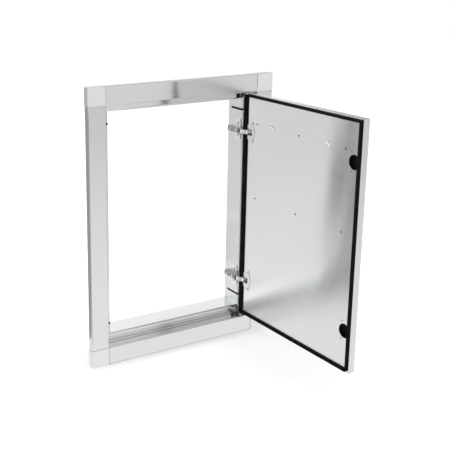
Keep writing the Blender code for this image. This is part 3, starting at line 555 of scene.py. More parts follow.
def makeCorner(name, edge, inward, level, up):
    sizes = cornerSizes

    def place(u, v, w):
        return (edge + inward * u, frameFront + v, level + up * w)

    outer, wall, depth = -sizes["proud"], sizes["wall"], frameSizes["returnDepth"]
    width, height = frameSizes["stileWidth"] - sizes["gap"], frameSizes["railWidth"] - sizes["gap"]
    shape = bmesh.new()
    shape.from_mesh(blockOf((outer, outer, outer), (width, depth, height), place))
    # The edges between two outer faces are rounded
    planes = place(outer, outer, outer)
    rounded = []
    for item in shape.edges:
        ends = [vertex.co for vertex in item.verts]
        flush = [all(abs(end[axis] - planes[axis]) < closeBy for end in ends) for axis in range(3)]
        if sum(flush) >= 2:
            rounded.append(item)
    bmesh.ops.bevel(shape, geom=rounded, offset=sizes["round"], segments=sizes["roundSteps"], profile=0.5,
                    affect="EDGES", clamp_overlap=True)
    pocket = blockOf((outer + wall,) * 3, (width - wall, depth + overrun, height - wall), place)
    shell = combine(toMesh(shape), [pocket], "DIFFERENCE")
    front, back = sizes["tongueFront"], depth - frameSizes["sheet"] - sizes["gap"]
    near, far = sizes["tongueInset"], sizes["tongueInset"] + sizes["tongueWidth"]
    tongues = [blockOf((width - wall / 2, front, near),
                       (frameSizes["stileWidth"] + sizes["tongueLength"], back, far), place),
               blockOf((near, front, height - wall / 2),
                       (far, back, frameSizes["railWidth"] + sizes["tongueLength"]), place)]
    finishPiece("cornerCast_" + name, combine(shell, tongues, "UNION"), "corner", "frame",
                ["frame_corner_" + name], sizes["edgeRound"])


for endName, level, up in (("top", frameTop, -1.0), ("bottom", frameBottom, 1.0)):
    for sideName, edge, inward in (("left", frameLeft, 1.0), ("right", frameRight, -1.0)):
        makeCorner(endName + "_" + sideName, edge, inward, level, up)
print("corner pieces set")


# The door's own place: s runs from the hinge edge, d from the inner face outward, z up from its foot
doorSizes = {
    "axis": (0.2038, -0.0039, 0.042), "openDegrees": 92.0, "axisFromEdge": 0.0072,
    "axisFromInnerFace": 0.0109, "width": 0.422, "height": 0.602, "thickness": 0.019, "sheet": 0.001,
    "bend": 0.003, "bendSteps": 8, "innerFold": 0.0008, "innerFoldSteps": 3, "cornerRound": 0.0012,
    "cornerSteps": 4, "leastRound": 0.0002, "hem": 0.007, "panelGap": 0.0003, "slitWidth": 0.00035,
    "slitIn": 0.0016, "slitOut": 0.001, "relief": 0.0009, "reliefIn": 0.0011, "reliefShare": 0.9,
    "reliefSteps": 16, "edgeRound": (0.00012, 2, 50.0),
}
doorTurn = (Matrix.Translation(doorSizes["axis"])
            @ Matrix.Rotation(math.radians(doorSizes["openDegrees"]), 4, "Z"))
doorWidth, doorHeight, doorSheet = doorSizes["width"], doorSizes["height"], doorSizes["sheet"]
hingeHeights = {"lower": 0.100, "upper": 0.502}
cupFromEdge = 0.022


def doorPlace(s, d, z):
    return doorTurn @ Vector((doorSizes["axisFromEdge"] - s, doorSizes["axisFromInnerFace"] - d, z))


def doorPrism(outline, low, high):
    return straightBar(outline, low, high, lambda s, z, d: doorPlace(s, d, z))


def doorRound(s, z, radius, low, high, steps=roundSteps):
    return doorPrism(circlePoints((s, z), radius, steps), low, high)


def doorLathe(profile, steps, s, z):
    return lathe(profile, steps, lambda x, y, d: doorPlace(s + x, d, z + y))


def roundedSlab(inset, dLow, dHigh, cornerRound, innerFold, outerBend):
    # The leaf's block, with its upright corners, its inner fold and its outer bend rounded
    rings = []
    for radius, level, sign, steps in ((innerFold, dLow, 1.0, doorSizes["innerFoldSteps"]),
                                       (outerBend, dHigh, -1.0, doorSizes["bendSteps"])):
        bend = []
        for step in range(steps + 1):
            angle = quarter * step / steps
            inward = inset + radius * (1.0 - math.sin(angle))
            d = level + sign * radius * (1.0 - math.cos(angle))
            corner = max(cornerRound - (inward - inset), doorSizes["leastRound"])
            outline = roundedRectangle((inward, inward), (doorWidth - inward, doorHeight - inward), corner,
                                       doorSizes["cornerSteps"])
            bend.append([doorPlace(s, d, z) for s, z in outline])
        rings += bend if sign > 0 else bend[::-1]
    return stackedRings(rings)


def makeDoorSkin():
    sizes = doorSizes
    hem, thickness, bend, corner = sizes["hem"], sizes["thickness"], sizes["bend"], sizes["cornerRound"]
    outside = roundedSlab(0.0, 0.0, thickness, corner, sizes["innerFold"], bend)
    pocket = roundedSlab(doorSheet, doorSheet, thickness - doorSheet, corner / 2, doorSheet / 5,
                         bend - doorSheet)
    mouth = doorPrism(rectangle((hem, hem), (doorWidth - hem, doorHeight - hem)), -overrun,
                      doorSheet + overrun)
    mesh = combine(outside, [pocket, mouth], "DIFFERENCE")
    cutters = [doorRound(s, z, panelSizes["cupHole"], -overrun, doorSheet + overrun, panelSizes["holeSteps"])
               for s in (cupFromEdge, doorWidth - cupFromEdge) for z in hingeHeights.values()]
    cutters += [doorRound(s, z, panelSizes["screwHole"], thickness - doorSheet - overrun, thickness + overrun)
                for s, z in handleScrewPlaces()]
    # The folded sides meet in a slit at each corner, with a round relief on the inner face
    half, reliefIn = sizes["slitWidth"] / 2, sizes["reliefIn"]
    for s, z, outS, outZ in ((0.0, 0.0, -1, -1), (doorWidth, 0.0, 1, -1), (0.0, doorHeight, -1, 1),
                             (doorWidth, doorHeight, 1, 1)):
        outline = [(s + outS * reach - outZ * half * side, z + outZ * reach + outS * half * side)
                   for reach, side in ((-sizes["slitIn"], 1), (sizes["slitOut"], 1), (sizes["slitOut"], -1),
                                       (-sizes["slitIn"], -1))]
        slit = doorPrism(outline, -overrun / 2, thickness - bend)
        relief = doorRound(s - outS * reliefIn, z - outZ * reliefIn, sizes["relief"], -overrun / 2,
                           doorSheet * sizes["reliefShare"], sizes["reliefSteps"])
        cutters.append(combine(slit, [relief], "UNION"))
    finishPiece("doorSkinFolded", cutAway(mesh, cutters), "doorSkin", "door", ["door_skin"],
                sizes["edgeRound"])


handleSizes = {
    "fromTop": 0.0755, "barRadius": 0.007, "barLength": 0.262, "barEdge": 0.0015, "overhang": 0.0295,
    "standoff": 0.038, "postRadius": 0.0055, "footRadius": 0.009, "footHeight": 0.003, "footFillet": 0.0016,
    "footUnder": 0.0003, "footEdge": 0.0007, "screwRadius": 0.0025, "screwBite": 0.012, "headRadius": 0.0078,
    "headHeight": 0.0042, "headFlatShare": 0.10, "headSteps": 10, "socketRadius": 0.0025,
    "socketDepth": 0.0020, "socketSides": 6, "seat": 0.0003, "barSteps": 48, "postSteps": 40,
    "boreSteps": 36, "filletSteps": 5,
    "barRound": (0.0002, 2, 50.0), "screwRound": (0.00012, 2, 40.0),
}


def handleScrewPlaces():
    reach = handleSizes["barLength"] / 2 - handleSizes["overhang"]
    return [(doorWidth / 2 + side * reach, doorHeight - handleSizes["fromTop"]) for side in (-1, 1)]


panelSizes = {
    "holeSteps": 72, "smallSteps": 20, "cupHole": 0.0175, "cupScrewHole": 0.0021, "pilotHole": 0.0017,
    "screwHole": 0.0028, "screwOffset": 0.0095, "screwSpacing": 0.045, "rackFromEdge": 0.051,
    "rackRows": (0.0745, 0.2690), "rackHole": 0.0023, "shadeDiscDepth": 0.0004, "shadeDiscFit": 0.0001,
    "edgeRound": (0.00015, 2, 50.0),
}


def besideCup(s, z):
    # The two screw places of a cup hole lie towards the middle of the leaf
    inward = 1 if s < doorWidth / 2 else -1
    reach = panelSizes["screwSpacing"] / 2
    return [(s + inward * panelSizes["screwOffset"], z + side * reach) for side in (-1, 1)]


def makeInnerPanel():
    sizes = panelSizes
    inset, edge, steps = doorSizes["hem"] + doorSizes["panelGap"], sizes["rackFromEdge"], sizes["smallSteps"]
    panel = doorPrism(rectangle((inset, inset), (doorWidth - inset, doorHeight - inset)), 0.0, doorSheet)
    racks = [(s, doorHeight - drop, sizes["rackHole"]) for drop in sizes["rackRows"]
             for s in (edge, doorWidth / 2, doorWidth - edge)]
    cups, screws, pilots = [], [], []
    for z in hingeHeights.values():
        for s, radius, holes in ((cupFromEdge, sizes["cupScrewHole"], screws),
                                 (doorWidth - cupFromEdge, sizes["pilotHole"], pilots)):
            cups.append((s, z, sizes["cupHole"]))
            holes.extend((atS, atZ, radius) for atS, atZ in besideCup(s, z))
    handles = [(s, z, sizes["screwHole"]) for s, z in handleScrewPlaces()]
    low, high = -overrun, doorSheet + overrun
    cutters = [doorRound(*hole, low, high, sizes["holeSteps"]) for hole in cups]
    cutters += [doorRound(*hole, low, high, steps) for hole in screws + pilots + racks + handles]
    finishPiece("doorPanelSheet", cutAway(panel, cutters), "doorPanel", "door", ["door_inner_panel"],
                sizes["edgeRound"])
    # Black discs sit low in the rack and pilot holes: painted shade that makes the holes read dark
    holeShadeDiscs = [doorRound(s, z, radius - sizes["shadeDiscFit"], sizes["shadeDiscDepth"], doorSheet, steps)
              for s, z, radius in racks + pilots]
    finishPiece("panelHoleShadeDiscs", joinMeshes(holeShadeDiscs), "nylon", "door", [])


makeDoorSkin()
makeInnerPanel()
print("door skins made")


# Seal: one D section carried round the inner face; the hinge side is broken for the links
sealSizes = {
    "inset": 0.0035, "width": 0.007, "height": 0.007, "crownWidth": 0.0036, "crown": 0.0009, "foot": 0.0004,
    "cornerRound": 0.0012, "roundSteps": 5, "notch": 0.012, "seat": 0.0003,
}


def filleted(tree, curve, radius):
    return addNode(tree, "GeometryNodeFilletCurve", {
        "Curve": curve, "Radius": radius, "Count": sealSizes["roundSteps"]}, mode="POLY").outputs["Curve"]


def sealTree():
    tree, source = newTree("sealRun", ("Width", "Height", "Crown Width", "Crown Round", "Foot Round",
                                       "Corner Round", "Finish"))
    # Section: upright on the outer side, sloping down to the panel on the inner side
    right, left = (maths(tree, "MULTIPLY", source["Width"], share) for share in (0.5, -0.5))
    top, bottom = (maths(tree, "MULTIPLY", source["Height"], share) for share in (0.5, -0.5))
    crownEnd = maths(tree, "ADD", left, source["Crown Width"])
    section = addNode(tree, "GeometryNodeCurvePrimitiveQuadrilateral", {
        "Point %d" % number: vectorOf(tree, x, y)
        for number, (x, y) in enumerate(((crownEnd, top), (left, top), (left, bottom), (right, bottom)), 1)
    }, mode="POINTS")
    index = addNode(tree, "GeometryNodeInputIndex").outputs[0]
    isCrown = addNode(tree, "FunctionNodeCompare", {2: index, 3: 2}, data_type="INT", operation="LESS_THAN")
    cornerSize = addNode(tree, "GeometryNodeSwitch", {
        "Switch": isCrown.outputs[0], "False": source["Foot Round"], "True": source["Crown Round"]},
        input_type="FLOAT")
    profile = filleted(tree, section.outputs["Curve"], cornerSize.outputs["Output"])
    path = addNode(tree, "GeometryNodeMeshToCurve", {"Mesh": source["Geometry"]})
    upright = addNode(tree, "GeometryNodeSetCurveNormal", {
        "Curve": filleted(tree, path.outputs["Curve"], source["Corner Round"])}, mode="Z_UP")
    swept = addNode(tree, "GeometryNodeCurveToMesh", {
        "Curve": upright.outputs["Curve"], "Profile Curve": profile, "Fill Caps": True})
    return closeTree(tree, swept.outputs["Mesh"], source["Finish"])


def makeSeal():
    sizes = sealSizes
    middle, half = sizes["inset"] + sizes["width"] / 2, sizes["notch"] / 2
    lower, upper = hingeHeights["lower"], hingeHeights["upper"]
    farS, farZ = doorWidth - middle, doorHeight - middle
    runs = [[(middle, upper + half), (middle, farZ), (farS, farZ), (farS, middle), (middle, middle),
             (middle, lower - half)], [(middle, lower + half), (middle, upper - half)]]
    points, edges = [], []
    for run in runs:
        edges += [(index, index + 1) for index in range(len(points), len(points) + len(run) - 1)]
        points += [(s, z, 0.0) for s, z in run]
    mesh = bpy.data.meshes.new("sealPath")
    mesh.from_pydata(points, edges, [])
    swept = runTree(mesh, sealTree(), {
        "Width": sizes["width"], "Height": sizes["height"], "Crown Width": sizes["crownWidth"],
        "Crown Round": sizes["crown"], "Foot Round": sizes["foot"], "Corner Round": sizes["cornerRound"],
        "Finish": looks["rubber"][0]})
    # The sweep lies flat; its crown, which keeps to the door's edge, is turned to the room
    highest = max(vertex.co.z for vertex in swept.vertices)
    for vertex in swept.vertices:
        s, z, level = vertex.co
        vertex.co = doorPlace(s, level - highest - sizes["seat"], z)
    shape = bmesh.new()
    shape.from_mesh(swept)
    parts = ("bottom", "top", "latch_side", "hinge_side_bottom", "hinge_side_middle", "hinge_side_top")
    finishPiece("doorSealRun", toMesh(shape), "rubber", "door", ["door_seal_" + part for part in parts])


makeSeal()
print("seal run")


# Deep black liners in the spare hinge holes
linerSizes = {"radius": 0.0173, "wall": 0.0012, "depth": 0.0125, "recess": 0.0004, "lip": 0.0004, "steps": 72,
              "inFillet": 0.0015, "outFillet": 0.0008, "inSteps": 4, "outSteps": 3}


def makeLiners():
    rim, wall, depth, recess, lip, steps, inFillet, outFillet, inSteps, outSteps = linerSizes.values()
    inner, top, base = rim - wall, recess + lip, depth - wall
    profile = [(0.0, base)] + arcPoints((inner - inFillet, base - inFillet), inFillet, quarter, 0.0, inSteps)
    profile += [(inner, top)] + arcPoints((inner + lip, top), lip, math.pi, 3 * quarter, outSteps)
    profile += arcPoints((rim - lip, top), lip, -quarter, 0.0, outSteps)
    profile += arcPoints((rim - outFillet, depth - outFillet), outFillet, 0.0, quarter, outSteps)
    profile.append((0.0, depth))
    for which, z in hingeHeights.items():
        mesh = doorLathe(profile, steps, doorWidth - cupFromEdge, z)
        finishPiece("holeLiner_" + which, mesh, "nylon", "door", [which + "_spare_hole_liner"])


makeLiners()


# Bar handle on the outside of the door
def makeHandle():
    sizes = handleSizes
    outer, seat, radius = doorSizes["thickness"], sizes["seat"], sizes["barRadius"]
    barDepth, height = outer + sizes["standoff"], doorHeight - sizes["fromTop"]
    profile = rodProfile(sizes["barLength"] / 2, radius, sizes["barEdge"], sizes["filletSteps"])
    rod = lathe(profile, sizes["barSteps"],
                lambda x, y, w: doorPlace(doorWidth / 2 + w, barDepth + x, height + y))
    postEnd, foot, fillet = barDepth - radius / 2, outer + seat, sizes["footFillet"]
    screwEnd, top, hole = foot + sizes["screwBite"], foot + sizes["footHeight"], sizes["screwRadius"] + seat
    post, plate, under, edge = sizes["postRadius"], sizes["footRadius"], sizes["footUnder"], sizes["footEdge"]
    postProfile = [(hole, foot)] + arcPoints((plate - under, foot + under), under, -quarter, 0.0, 2)
    postProfile += arcPoints((plate - edge, top - edge), edge, 0.0, quarter, 3)
    postProfile += arcPoints((post + fillet, top + fillet), fillet, 3 * quarter, math.pi,
                             sizes["filletSteps"])
    postProfile += [(post, postEnd), (0.0, postEnd), (0.0, screwEnd + seat), (hole, screwEnd + seat)]
    # Domed screw with a six-sided socket, seen from inside the door
    head, rise, shank = sizes["headRadius"], sizes["headHeight"], sizes["screwRadius"]
    crown, steps = -seat - rise, sizes["headSteps"]
    angles = [quarter * step / steps for step in reversed(range(steps - 1))]
    screwProfile = [(0.0, crown), (head * sizes["headFlatShare"], crown)]
    screwProfile += [(head * math.cos(angle), -seat - rise * math.sin(angle)) for angle in angles]
    screwProfile += [(shank, -seat), (shank, screwEnd), (0.0, screwEnd)]
    sockets = []
    for side, (s, z) in zip(("hinge_side", "latch_side"), handleScrewPlaces()):
        sockets.append(doorRound(s, z, post + seat, 0.0, postEnd + seat, sizes["boreSteps"]))
        mesh = doorLathe(postProfile, sizes["postSteps"], s, z)
        finishPiece("handlePost_" + side, mesh, "handle", "door", ["handle_post_" + side])
        socket = doorRound(s, z, sizes["socketRadius"], crown - overrun, crown + sizes["socketDepth"],
                           sizes["socketSides"])
        mesh = combine(doorLathe(screwProfile, sizes["postSteps"], s, z), [socket], "DIFFERENCE")
        finishPiece("handleScrew_" + side, mesh, "screwHead", "door", ["handle_screw_" + side],
                    sizes["screwRound"])
    finishPiece("handleBarTurned", cutAway(rod, sockets), "handle", "door", ["handle_bar"], sizes["barRound"])


makeHandle()
print("liners and handle made")


# Hinges; u runs out from the jamb's face, v back from the frame's front, w up from the hinge's middle
hingeSizes = {
    "seat": 0.0003, "plateThickness": 0.0022, "wingHeight": 0.055, "wingDepth": 0.024, "wingFront": 0.037,
    "wingRound": 0.007, "bodyHeight": 0.016, "bodyLength": 0.046, "bodyRound": 0.003,
    "wingSteps": 8, "bodySteps": 6, "plateHoleSteps": 28, "plateEdge": (0.0005, 3, 38.0),
    "armHeight": 0.014, "armSheet": 0.0015, "armStandoff": 0.0145, "armRear": 0.078, "armWebFront": 0.030,
    "armBend": 0.0024, "armBendSteps": 6, "armEdge": (0.00035, 2, 40.0), "noseRadius": 0.0030,
    "noseReach": 0.006, "noseSteps": 10, "pinRadius": 0.0012,
    "pinClearance": 0.0002, "pinHead": 0.0004, "pinEdge": 0.0003, "outerPin": (0.012, 0.020),
    "innerPin": (0.010, 0.025), "frontAdjuster": 0.041, "rearAdjuster": 0.066, "rearReach": 0.004,
    "adjusterHole": 0.0024, "adjusterSteps": 12, "webHole": 0.053,
}


def hingePlace(level):
    return lambda u, v, w: (jambRight - u, frameFront + v, level + w)


def makePlate(which, level):
    sizes = hingeSizes
    turned = turnedPlace(hingePlace(level))
    low, high = sizes["seat"], sizes["seat"] + sizes["plateThickness"]
    front, depth = sizes["wingFront"], sizes["wingDepth"]
    half, bodyHalf = sizes["wingHeight"] / 2, sizes["bodyHeight"] / 2
    wing = roundedRectangle((front, -half), (front + depth, half), sizes["wingRound"], sizes["wingSteps"])
    bodyFront = front - sizes["bodyRound"]
    body = roundedRectangle((bodyFront, -bodyHalf), (bodyFront + sizes["bodyLength"], bodyHalf),
                            sizes["bodyRound"], sizes["bodySteps"])
    mesh = combine(straightBar(wing, low, high, turned), [straightBar(body, low, high, turned)], "UNION")
    holes = [circlePoints((front + depth / 2, side * plateHoles["spacing"] / 2), plateHoles["radius"],
                          sizes["plateHoleSteps"]) for side in (-1, 1)]
    mesh = cutAway(mesh, holesThrough(holes, low, high, turned))
    finishPiece("hingePlate_" + which, mesh, "nickel", "frame", [which + "_hinge_plate"], sizes["plateEdge"])


def makeArm(which, level):
    sizes = hingeSizes
    place = hingePlace(level)
    half, sheet, standoff = sizes["armHeight"] / 2, sizes["armSheet"], sizes["armStandoff"]
    outer, inner, noseRadius = sizes["outerPin"], sizes["innerPin"], sizes["noseRadius"]
    base, web, middle = sizes["plateThickness"] + 2 * sizes["seat"], standoff - sheet / 2, half - sheet / 2
    # The arm's body is one stamped channel
    channel = foldedStrip([(-middle, base), (-middle, web), (middle, web), (middle, base)],
                          [sizes["armBend"]] * 2, sheet, lambda u: sizes["armWebFront"],
                          lambda u: sizes["armRear"], lambda w, u, v: place(u, v, w), sizes["armBendSteps"])
    noseRoot = (inner[0] - sizes["seat"], inner[1] + sizes["noseReach"])
    cheeks = [straightBar(capsulePoints(first, second, noseRadius, sizes["noseSteps"]), low, high, place)
              for low, high in ((half - sheet, half), (-half, -half + sheet))
              for first, second in ((outer, inner), (inner, noseRoot))]
    hole = sizes["pinRadius"] + sizes["pinClearance"]
    cutters = holesThrough([circlePoints(centre, hole) for centre in (outer, inner)], -half, half, place)
    for depth, reach in ((sizes["frontAdjuster"], closeBy), (sizes["webHole"], closeBy),
                         (sizes["rearAdjuster"], sizes["rearReach"])):
        outline = capsulePoints((depth, 0.0), (depth + reach, 0.0), sizes["adjusterHole"],
                                sizes["adjusterSteps"])
        cutters.append(straightBar(outline, standoff - 3 * sheet, standoff + overrun, turnedPlace(place)))
    finishPiece("hingeArm_" + which, cutAway(combine(channel, cheeks, "UNION"), cutters), "arm", "frame",
                [which + "_hinge_arm"], sizes["armEdge"])


def makePins(which, level):
    sizes = hingeSizes
    place = hingePlace(level)
    profile = rodProfile(sizes["armHeight"] / 2 + sizes["pinHead"], sizes["pinRadius"], sizes["pinEdge"], 3)
    for kind in ("outer", "inner"):
        u, v = sizes[kind + "Pin"]
        mesh = lathe(profile, roundSteps, lambda x, y, w: place(u + x, v + y, w))
        finishPiece("hingePin_" + which + "_" + kind, mesh, "nickel", "frame",
                    [which + "_hinge_" + kind + "_pin"])


linkSizes = {
    "poleRadius": 0.011, "barrel": 0.0022, "end": 0.0016, "bend": 0.0022, "bendSteps": 8, "barrelSteps": 32,
    "endSteps": 28, "edgeRound": (0.0003, 2, 40.0), "forkLength": 0.0065, "forkClearance": 0.0004,
    "outer": {"sheet": 0.0022, "height": 0.0104, "barrelHeight": 0.0104,
              "bends": ((0.0085, 0.0100), (0.0044, 0.0018))},
    "inner": {"sheet": 0.0018, "height": 0.0046, "barrelHeight": 0.0096, "bends": ()},
}


def linkEnd(pin):
    # The door meets a link where the line to the swing axis is turned by half the opening
    axis = Vector(doorSizes["axis"][:2])
    towards = math.atan2(pin.y - axis.y, pin.x - axis.x)
    angle = towards + math.radians(doorSizes["openDegrees"]) / 2
    return axis + Vector((math.cos(angle), math.sin(angle))) * linkSizes["poleRadius"]


def makeLink(which, level, kind):
    sizes = linkSizes[kind]
    place = lambda x, y, w: (x, y, level + w)
    corners = (hingeSizes[kind + "Pin"], *sizes["bends"])
    pin, *bends = [Vector((jambRight - u, frameFront + v)) for u, v in corners]
    end, half, barrelHalf = linkEnd(pin), sizes["height"] / 2, sizes["barrelHeight"] / 2
    strip = foldedStrip([pin, *bends, end], [linkSizes["bend"]] * len(bends), sizes["sheet"], lambda u: -half,
                        lambda u: half, place, linkSizes["bendSteps"])
    barrel = straightBar(circlePoints(pin, linkSizes["barrel"], linkSizes["barrelSteps"]), -barrelHalf,
                         barrelHalf, place)
    tip = straightBar(circlePoints(end, linkSizes["end"], linkSizes["endSteps"]), -half, half, place)
    hole = circlePoints(pin, hingeSizes["pinRadius"] + hingeSizes["pinClearance"])
    cutters = holesThrough([hole], -barrelHalf, barrelHalf, place)
    if bends:
        # The tip is forked, and the inner link runs between its sides
        along = (end - bends[-1]).normalized()
        across = Vector((-along.y, along.x)) * (linkSizes["end"] + overrun)
        tail, nose = end - along * linkSizes["forkLength"], end + along * (linkSizes["end"] + overrun)
        gap = linkSizes["inner"]["height"] / 2 + linkSizes["forkClearance"]
        fork = [tail - across, nose - across, nose + across, tail + across]
        cutters.append(straightBar(fork, -gap, gap, place))
    mesh = cutAway(combine(strip, [barrel, tip], "UNION"), cutters)
    finishPiece("hingeLink_" + which + "_" + kind, mesh, "link", which + "_" + kind + "_link",
                [which + "_hinge_" + kind + "_link"], linkSizes["edgeRound"])


cupSizes = {
    "radius": 0.0173, "wall": 0.0008, "depth": 0.0129, "rim": 0.0025, "cover": 0.001, "footRound": 0.0012,
    "slotHeight": 0.0164, "slotReach": 0.0102, "slotRound": 0.0016, "slotBack": 0.004, "leverWidth": 0.005,
    "leverHeight": 0.0034, "leverRise": 0.0014, "leverDrop": 0.0104, "leverRound": 0.0008,
    "leverHoleDrop": 0.0130, "leverHole": 0.0010, "lugReach": 0.011, "lugSheet": 0.001, "lugRecess": 0.0006,
    "wingRadius": 0.0062, "wasteReach": 0.035, "steps": 72, "footSteps": 5, "slotSteps": 5,
    "wingSteps": 14, "leverSteps": 4, "leverHoleSteps": 20, "edgeRound": (0.00022, 2, 42.0),
}


def makeCup(which, height):
    sizes = cupSizes
    seat, foot, wall, depth = hingeSizes["seat"], sizes["footRound"], sizes["wall"], sizes["depth"]
    s0, z0, rim, inner = cupFromEdge, height, sizes["radius"], sizes["radius"] - wall
    topFace = -seat - sizes["cover"]
    cut = topFace - overrun
    brim = rim + sizes["rim"]
    profile = [(0.0, topFace), (brim, topFace), (brim, -seat), (rim, -seat)]
    profile += arcPoints((rim - foot, depth - foot), foot, 0.0, quarter, sizes["footSteps"]) + [(0.0, depth)]
    body = doorLathe(profile, sizes["steps"], s0, z0)
    first, second = besideCup(s0, z0)
    sink = seat / 5
    wings = doorPrism(capsulePoints(first, second, sizes["wingRadius"], sizes["wingSteps"]), topFace + sink,
                      -seat - sink)
    halfLever, leverTop = sizes["leverWidth"] / 2, z0 - sizes["leverDrop"] + sizes["leverHeight"] / 2
    lever = doorPrism(roundedRectangle((s0 - halfLever, leverTop - sizes["leverHeight"]),
                                       (s0 + halfLever, leverTop), sizes["leverRound"], sizes["leverSteps"]),
                      topFace - sizes["leverRise"], topFace + seat)
    profile = [(0.0, -seat / 2), (inner, -seat / 2)]
    profile += arcPoints((inner - foot, depth - wall - foot), foot, 0.0, quarter, sizes["footSteps"])
    profile.append((0.0, depth - wall))
    hollow = doorLathe(profile, sizes["steps"], s0, z0)
    half = sizes["slotHeight"] / 2
    slot = doorPrism(roundedRectangle((s0 - inner - sizes["slotBack"], z0 - half),
                                      (s0 + sizes["slotReach"], z0 + half), sizes["slotRound"],
                                      sizes["slotSteps"]),
                     cut, overrun / 2)
    limit, waste = sealSizes["inset"] + sealSizes["width"] + seat, sizes["wasteReach"]
    underSeal = doorPrism(rectangle((s0 - waste, z0 - waste), (limit, z0 + waste)), cut, 0.0)
    mesh = combine(combine(body, [wings], "UNION"), [hollow, slot, underSeal], "DIFFERENCE")
    cutters = [doorRound(s0, z0 - sizes["leverHoleDrop"], sizes["leverHole"], cut, overrun,
                         sizes["leverHoleSteps"])]
    cutters += [doorRound(s, z, panelSizes["cupScrewHole"], cut, overrun) for s, z in (first, second)]
    mesh = cutAway(mesh, cutters)
    near = linkSizes["outer"]["height"] / 2 + seat
    far = near + sizes["lugSheet"]
    start = s0 - math.sqrt((rim - wall / 4) ** 2 - far ** 2)
    lugs = [doorPrism(rectangle((start, low), (start + sizes["lugReach"], high)), sizes["lugRecess"],
                      depth - wall / 2) for low, high in ((z0 - far, z0 - near), (z0 + near, z0 + far))]
    finishPiece("hingeCup_" + which, combine(mesh, lugs + [lever], "UNION"), "cup", "door",
                [which + "_hinge_cup"], sizes["edgeRound"])


for which, level in hingeLevels.items():
    makePlate(which, level)
    makeArm(which, level)
    makePins(which, level)
    makeLink(which, level, "outer")
    makeLink(which, level, "inner")
    makeCup(which, hingeHeights[which])
print("hinges made")


# Pan-head screws: one tree makes a head with a cross recess and sets it on every screw's place
screwSizes = {
    "plate": {"head": 0.0042, "rise": 0.0020, "shank": 0.0020, "length": 0.010, "seed": 3},
    "adjuster": {"head": 0.0034, "rise": 0.0014, "shank": 0.0018, "length": 0.0117, "seed": 8},
    "cup": {"head": 0.0036, "rise": 0.0016, "shank": 0.0018, "length": 0.009, "seed": 5},
    "recessLong": 0.0046, "recessWide": 0.0010, "recessDepth": 0.0010, "headSides": 28,
    "headRings": 6, "shankSides": 16, "shankDrop": -0.499, "taperPower": 3.0, "taperShare": 0.62,
    "edgeRound": (0.0001, 2, 45.0),
}


def screwTree():
    sizes = screwSizes
    tree, source = newTree("panHeadScrews", ("Head Radius", "Head Rise", "Shank Radius", "Shank Length",
                                             "Recess Long", "Recess Wide", "Recess Depth", "Turn Seed",
                                             "Finish"))

    def moved(geometry, rise):
        return addNode(tree, "GeometryNodeTransform", {
            "Geometry": geometry, "Translation": vectorOf(tree, z=rise)}).outputs["Geometry"]

    def joined(first, second, operation):
        node = addNode(tree, "GeometryNodeMeshBoolean", operation=operation, solver="EXACT")
        target = "Mesh 1" if operation == "DIFFERENCE" else "Mesh 2"
        tree.links.new(first, node.inputs[target])
        tree.links.new(second, node.inputs["Mesh 2"])
        return node.outputs["Mesh"]

    # Head: a cylinder whose rings draw in towards the top
    head = addNode(tree, "GeometryNodeMeshCylinder", {
        "Vertices": sizes["headSides"], "Side Segments": sizes["headRings"], "Radius": source["Head Radius"],
        "Depth": source["Head Rise"]})
    position = addNode(tree, "GeometryNodeInputPosition").outputs["Position"]
    x, y, z = addNode(tree, "ShaderNodeSeparateXYZ", {"Vector": position}).outputs
    share = maths(tree, "ADD", maths(tree, "DIVIDE", z, source["Head Rise"]), 0.5)
    drawn = maths(tree, "MULTIPLY", maths(tree, "POWER", share, sizes["taperPower"]), sizes["taperShare"])
    taper = maths(tree, "POWER", maths(tree, "SUBTRACT", 1.0, drawn), 0.5)
    shaped = addNode(tree, "GeometryNodeSetPosition", {
        "Geometry": head.outputs["Mesh"],
        "Position": vectorOf(tree, maths(tree, "MULTIPLY", x, taper), maths(tree, "MULTIPLY", y, taper), z)})
    raised = moved(shaped.outputs["Geometry"], maths(tree, "MULTIPLY", source["Head Rise"], 0.5))
    shank = addNode(tree, "GeometryNodeMeshCylinder", {
        "Vertices": sizes["shankSides"], "Radius": source["Shank Radius"], "Depth": source["Shank Length"]})
    lowered = moved(shank.outputs["Mesh"],
                    maths(tree, "MULTIPLY", source["Shank Length"], sizes["shankDrop"]))
    # Cross recess, as two crossed blocks
    deep = maths(tree, "MULTIPLY", source["Recess Depth"], 2.0)
    bars = [moved(addNode(tree, "GeometryNodeMeshCube", {
        "Size": vectorOf(tree, source["Recess " + long], source["Recess " + wide], deep)}).outputs["Mesh"],
        source["Head Rise"]) for long, wide in (("Long", "Wide"), ("Wide", "Long"))]
    cross = joined(*bars, "UNION")
    recessed = joined(joined(raised, lowered, "UNION"), cross, "DIFFERENCE")
    # One screw on every point, facing the way its point says, each turned by its own angle
    facing = addNode(tree, "GeometryNodeInputNamedAttribute", {"Name": "facing"}, data_type="FLOAT_VECTOR")
    aligned = addNode(tree, "FunctionNodeAlignRotationToVector", {"Vector": facing.outputs["Attribute"]},
                      axis="Z")
    spin = addNode(tree, "FunctionNodeRandomValue", {"Seed": source["Turn Seed"], 3: quarter},
                   data_type="FLOAT")
    spun = addNode(tree, "FunctionNodeAxisAngleToRotation", {
        "Axis": (0.0, 0.0, 1.0), "Angle": spin.outputs[1]})
    rotation = addNode(tree, "FunctionNodeRotateRotation", {
        "Rotation": aligned.outputs["Rotation"], "Rotate By": spun.outputs["Rotation"]},
        rotation_space="LOCAL")
    placed = addNode(tree, "GeometryNodeInstanceOnPoints", {
        "Points": source["Geometry"], "Instance": recessed, "Rotation": rotation.outputs["Rotation"]})
    return closeTree(tree, placed.outputs["Instances"], source["Finish"])


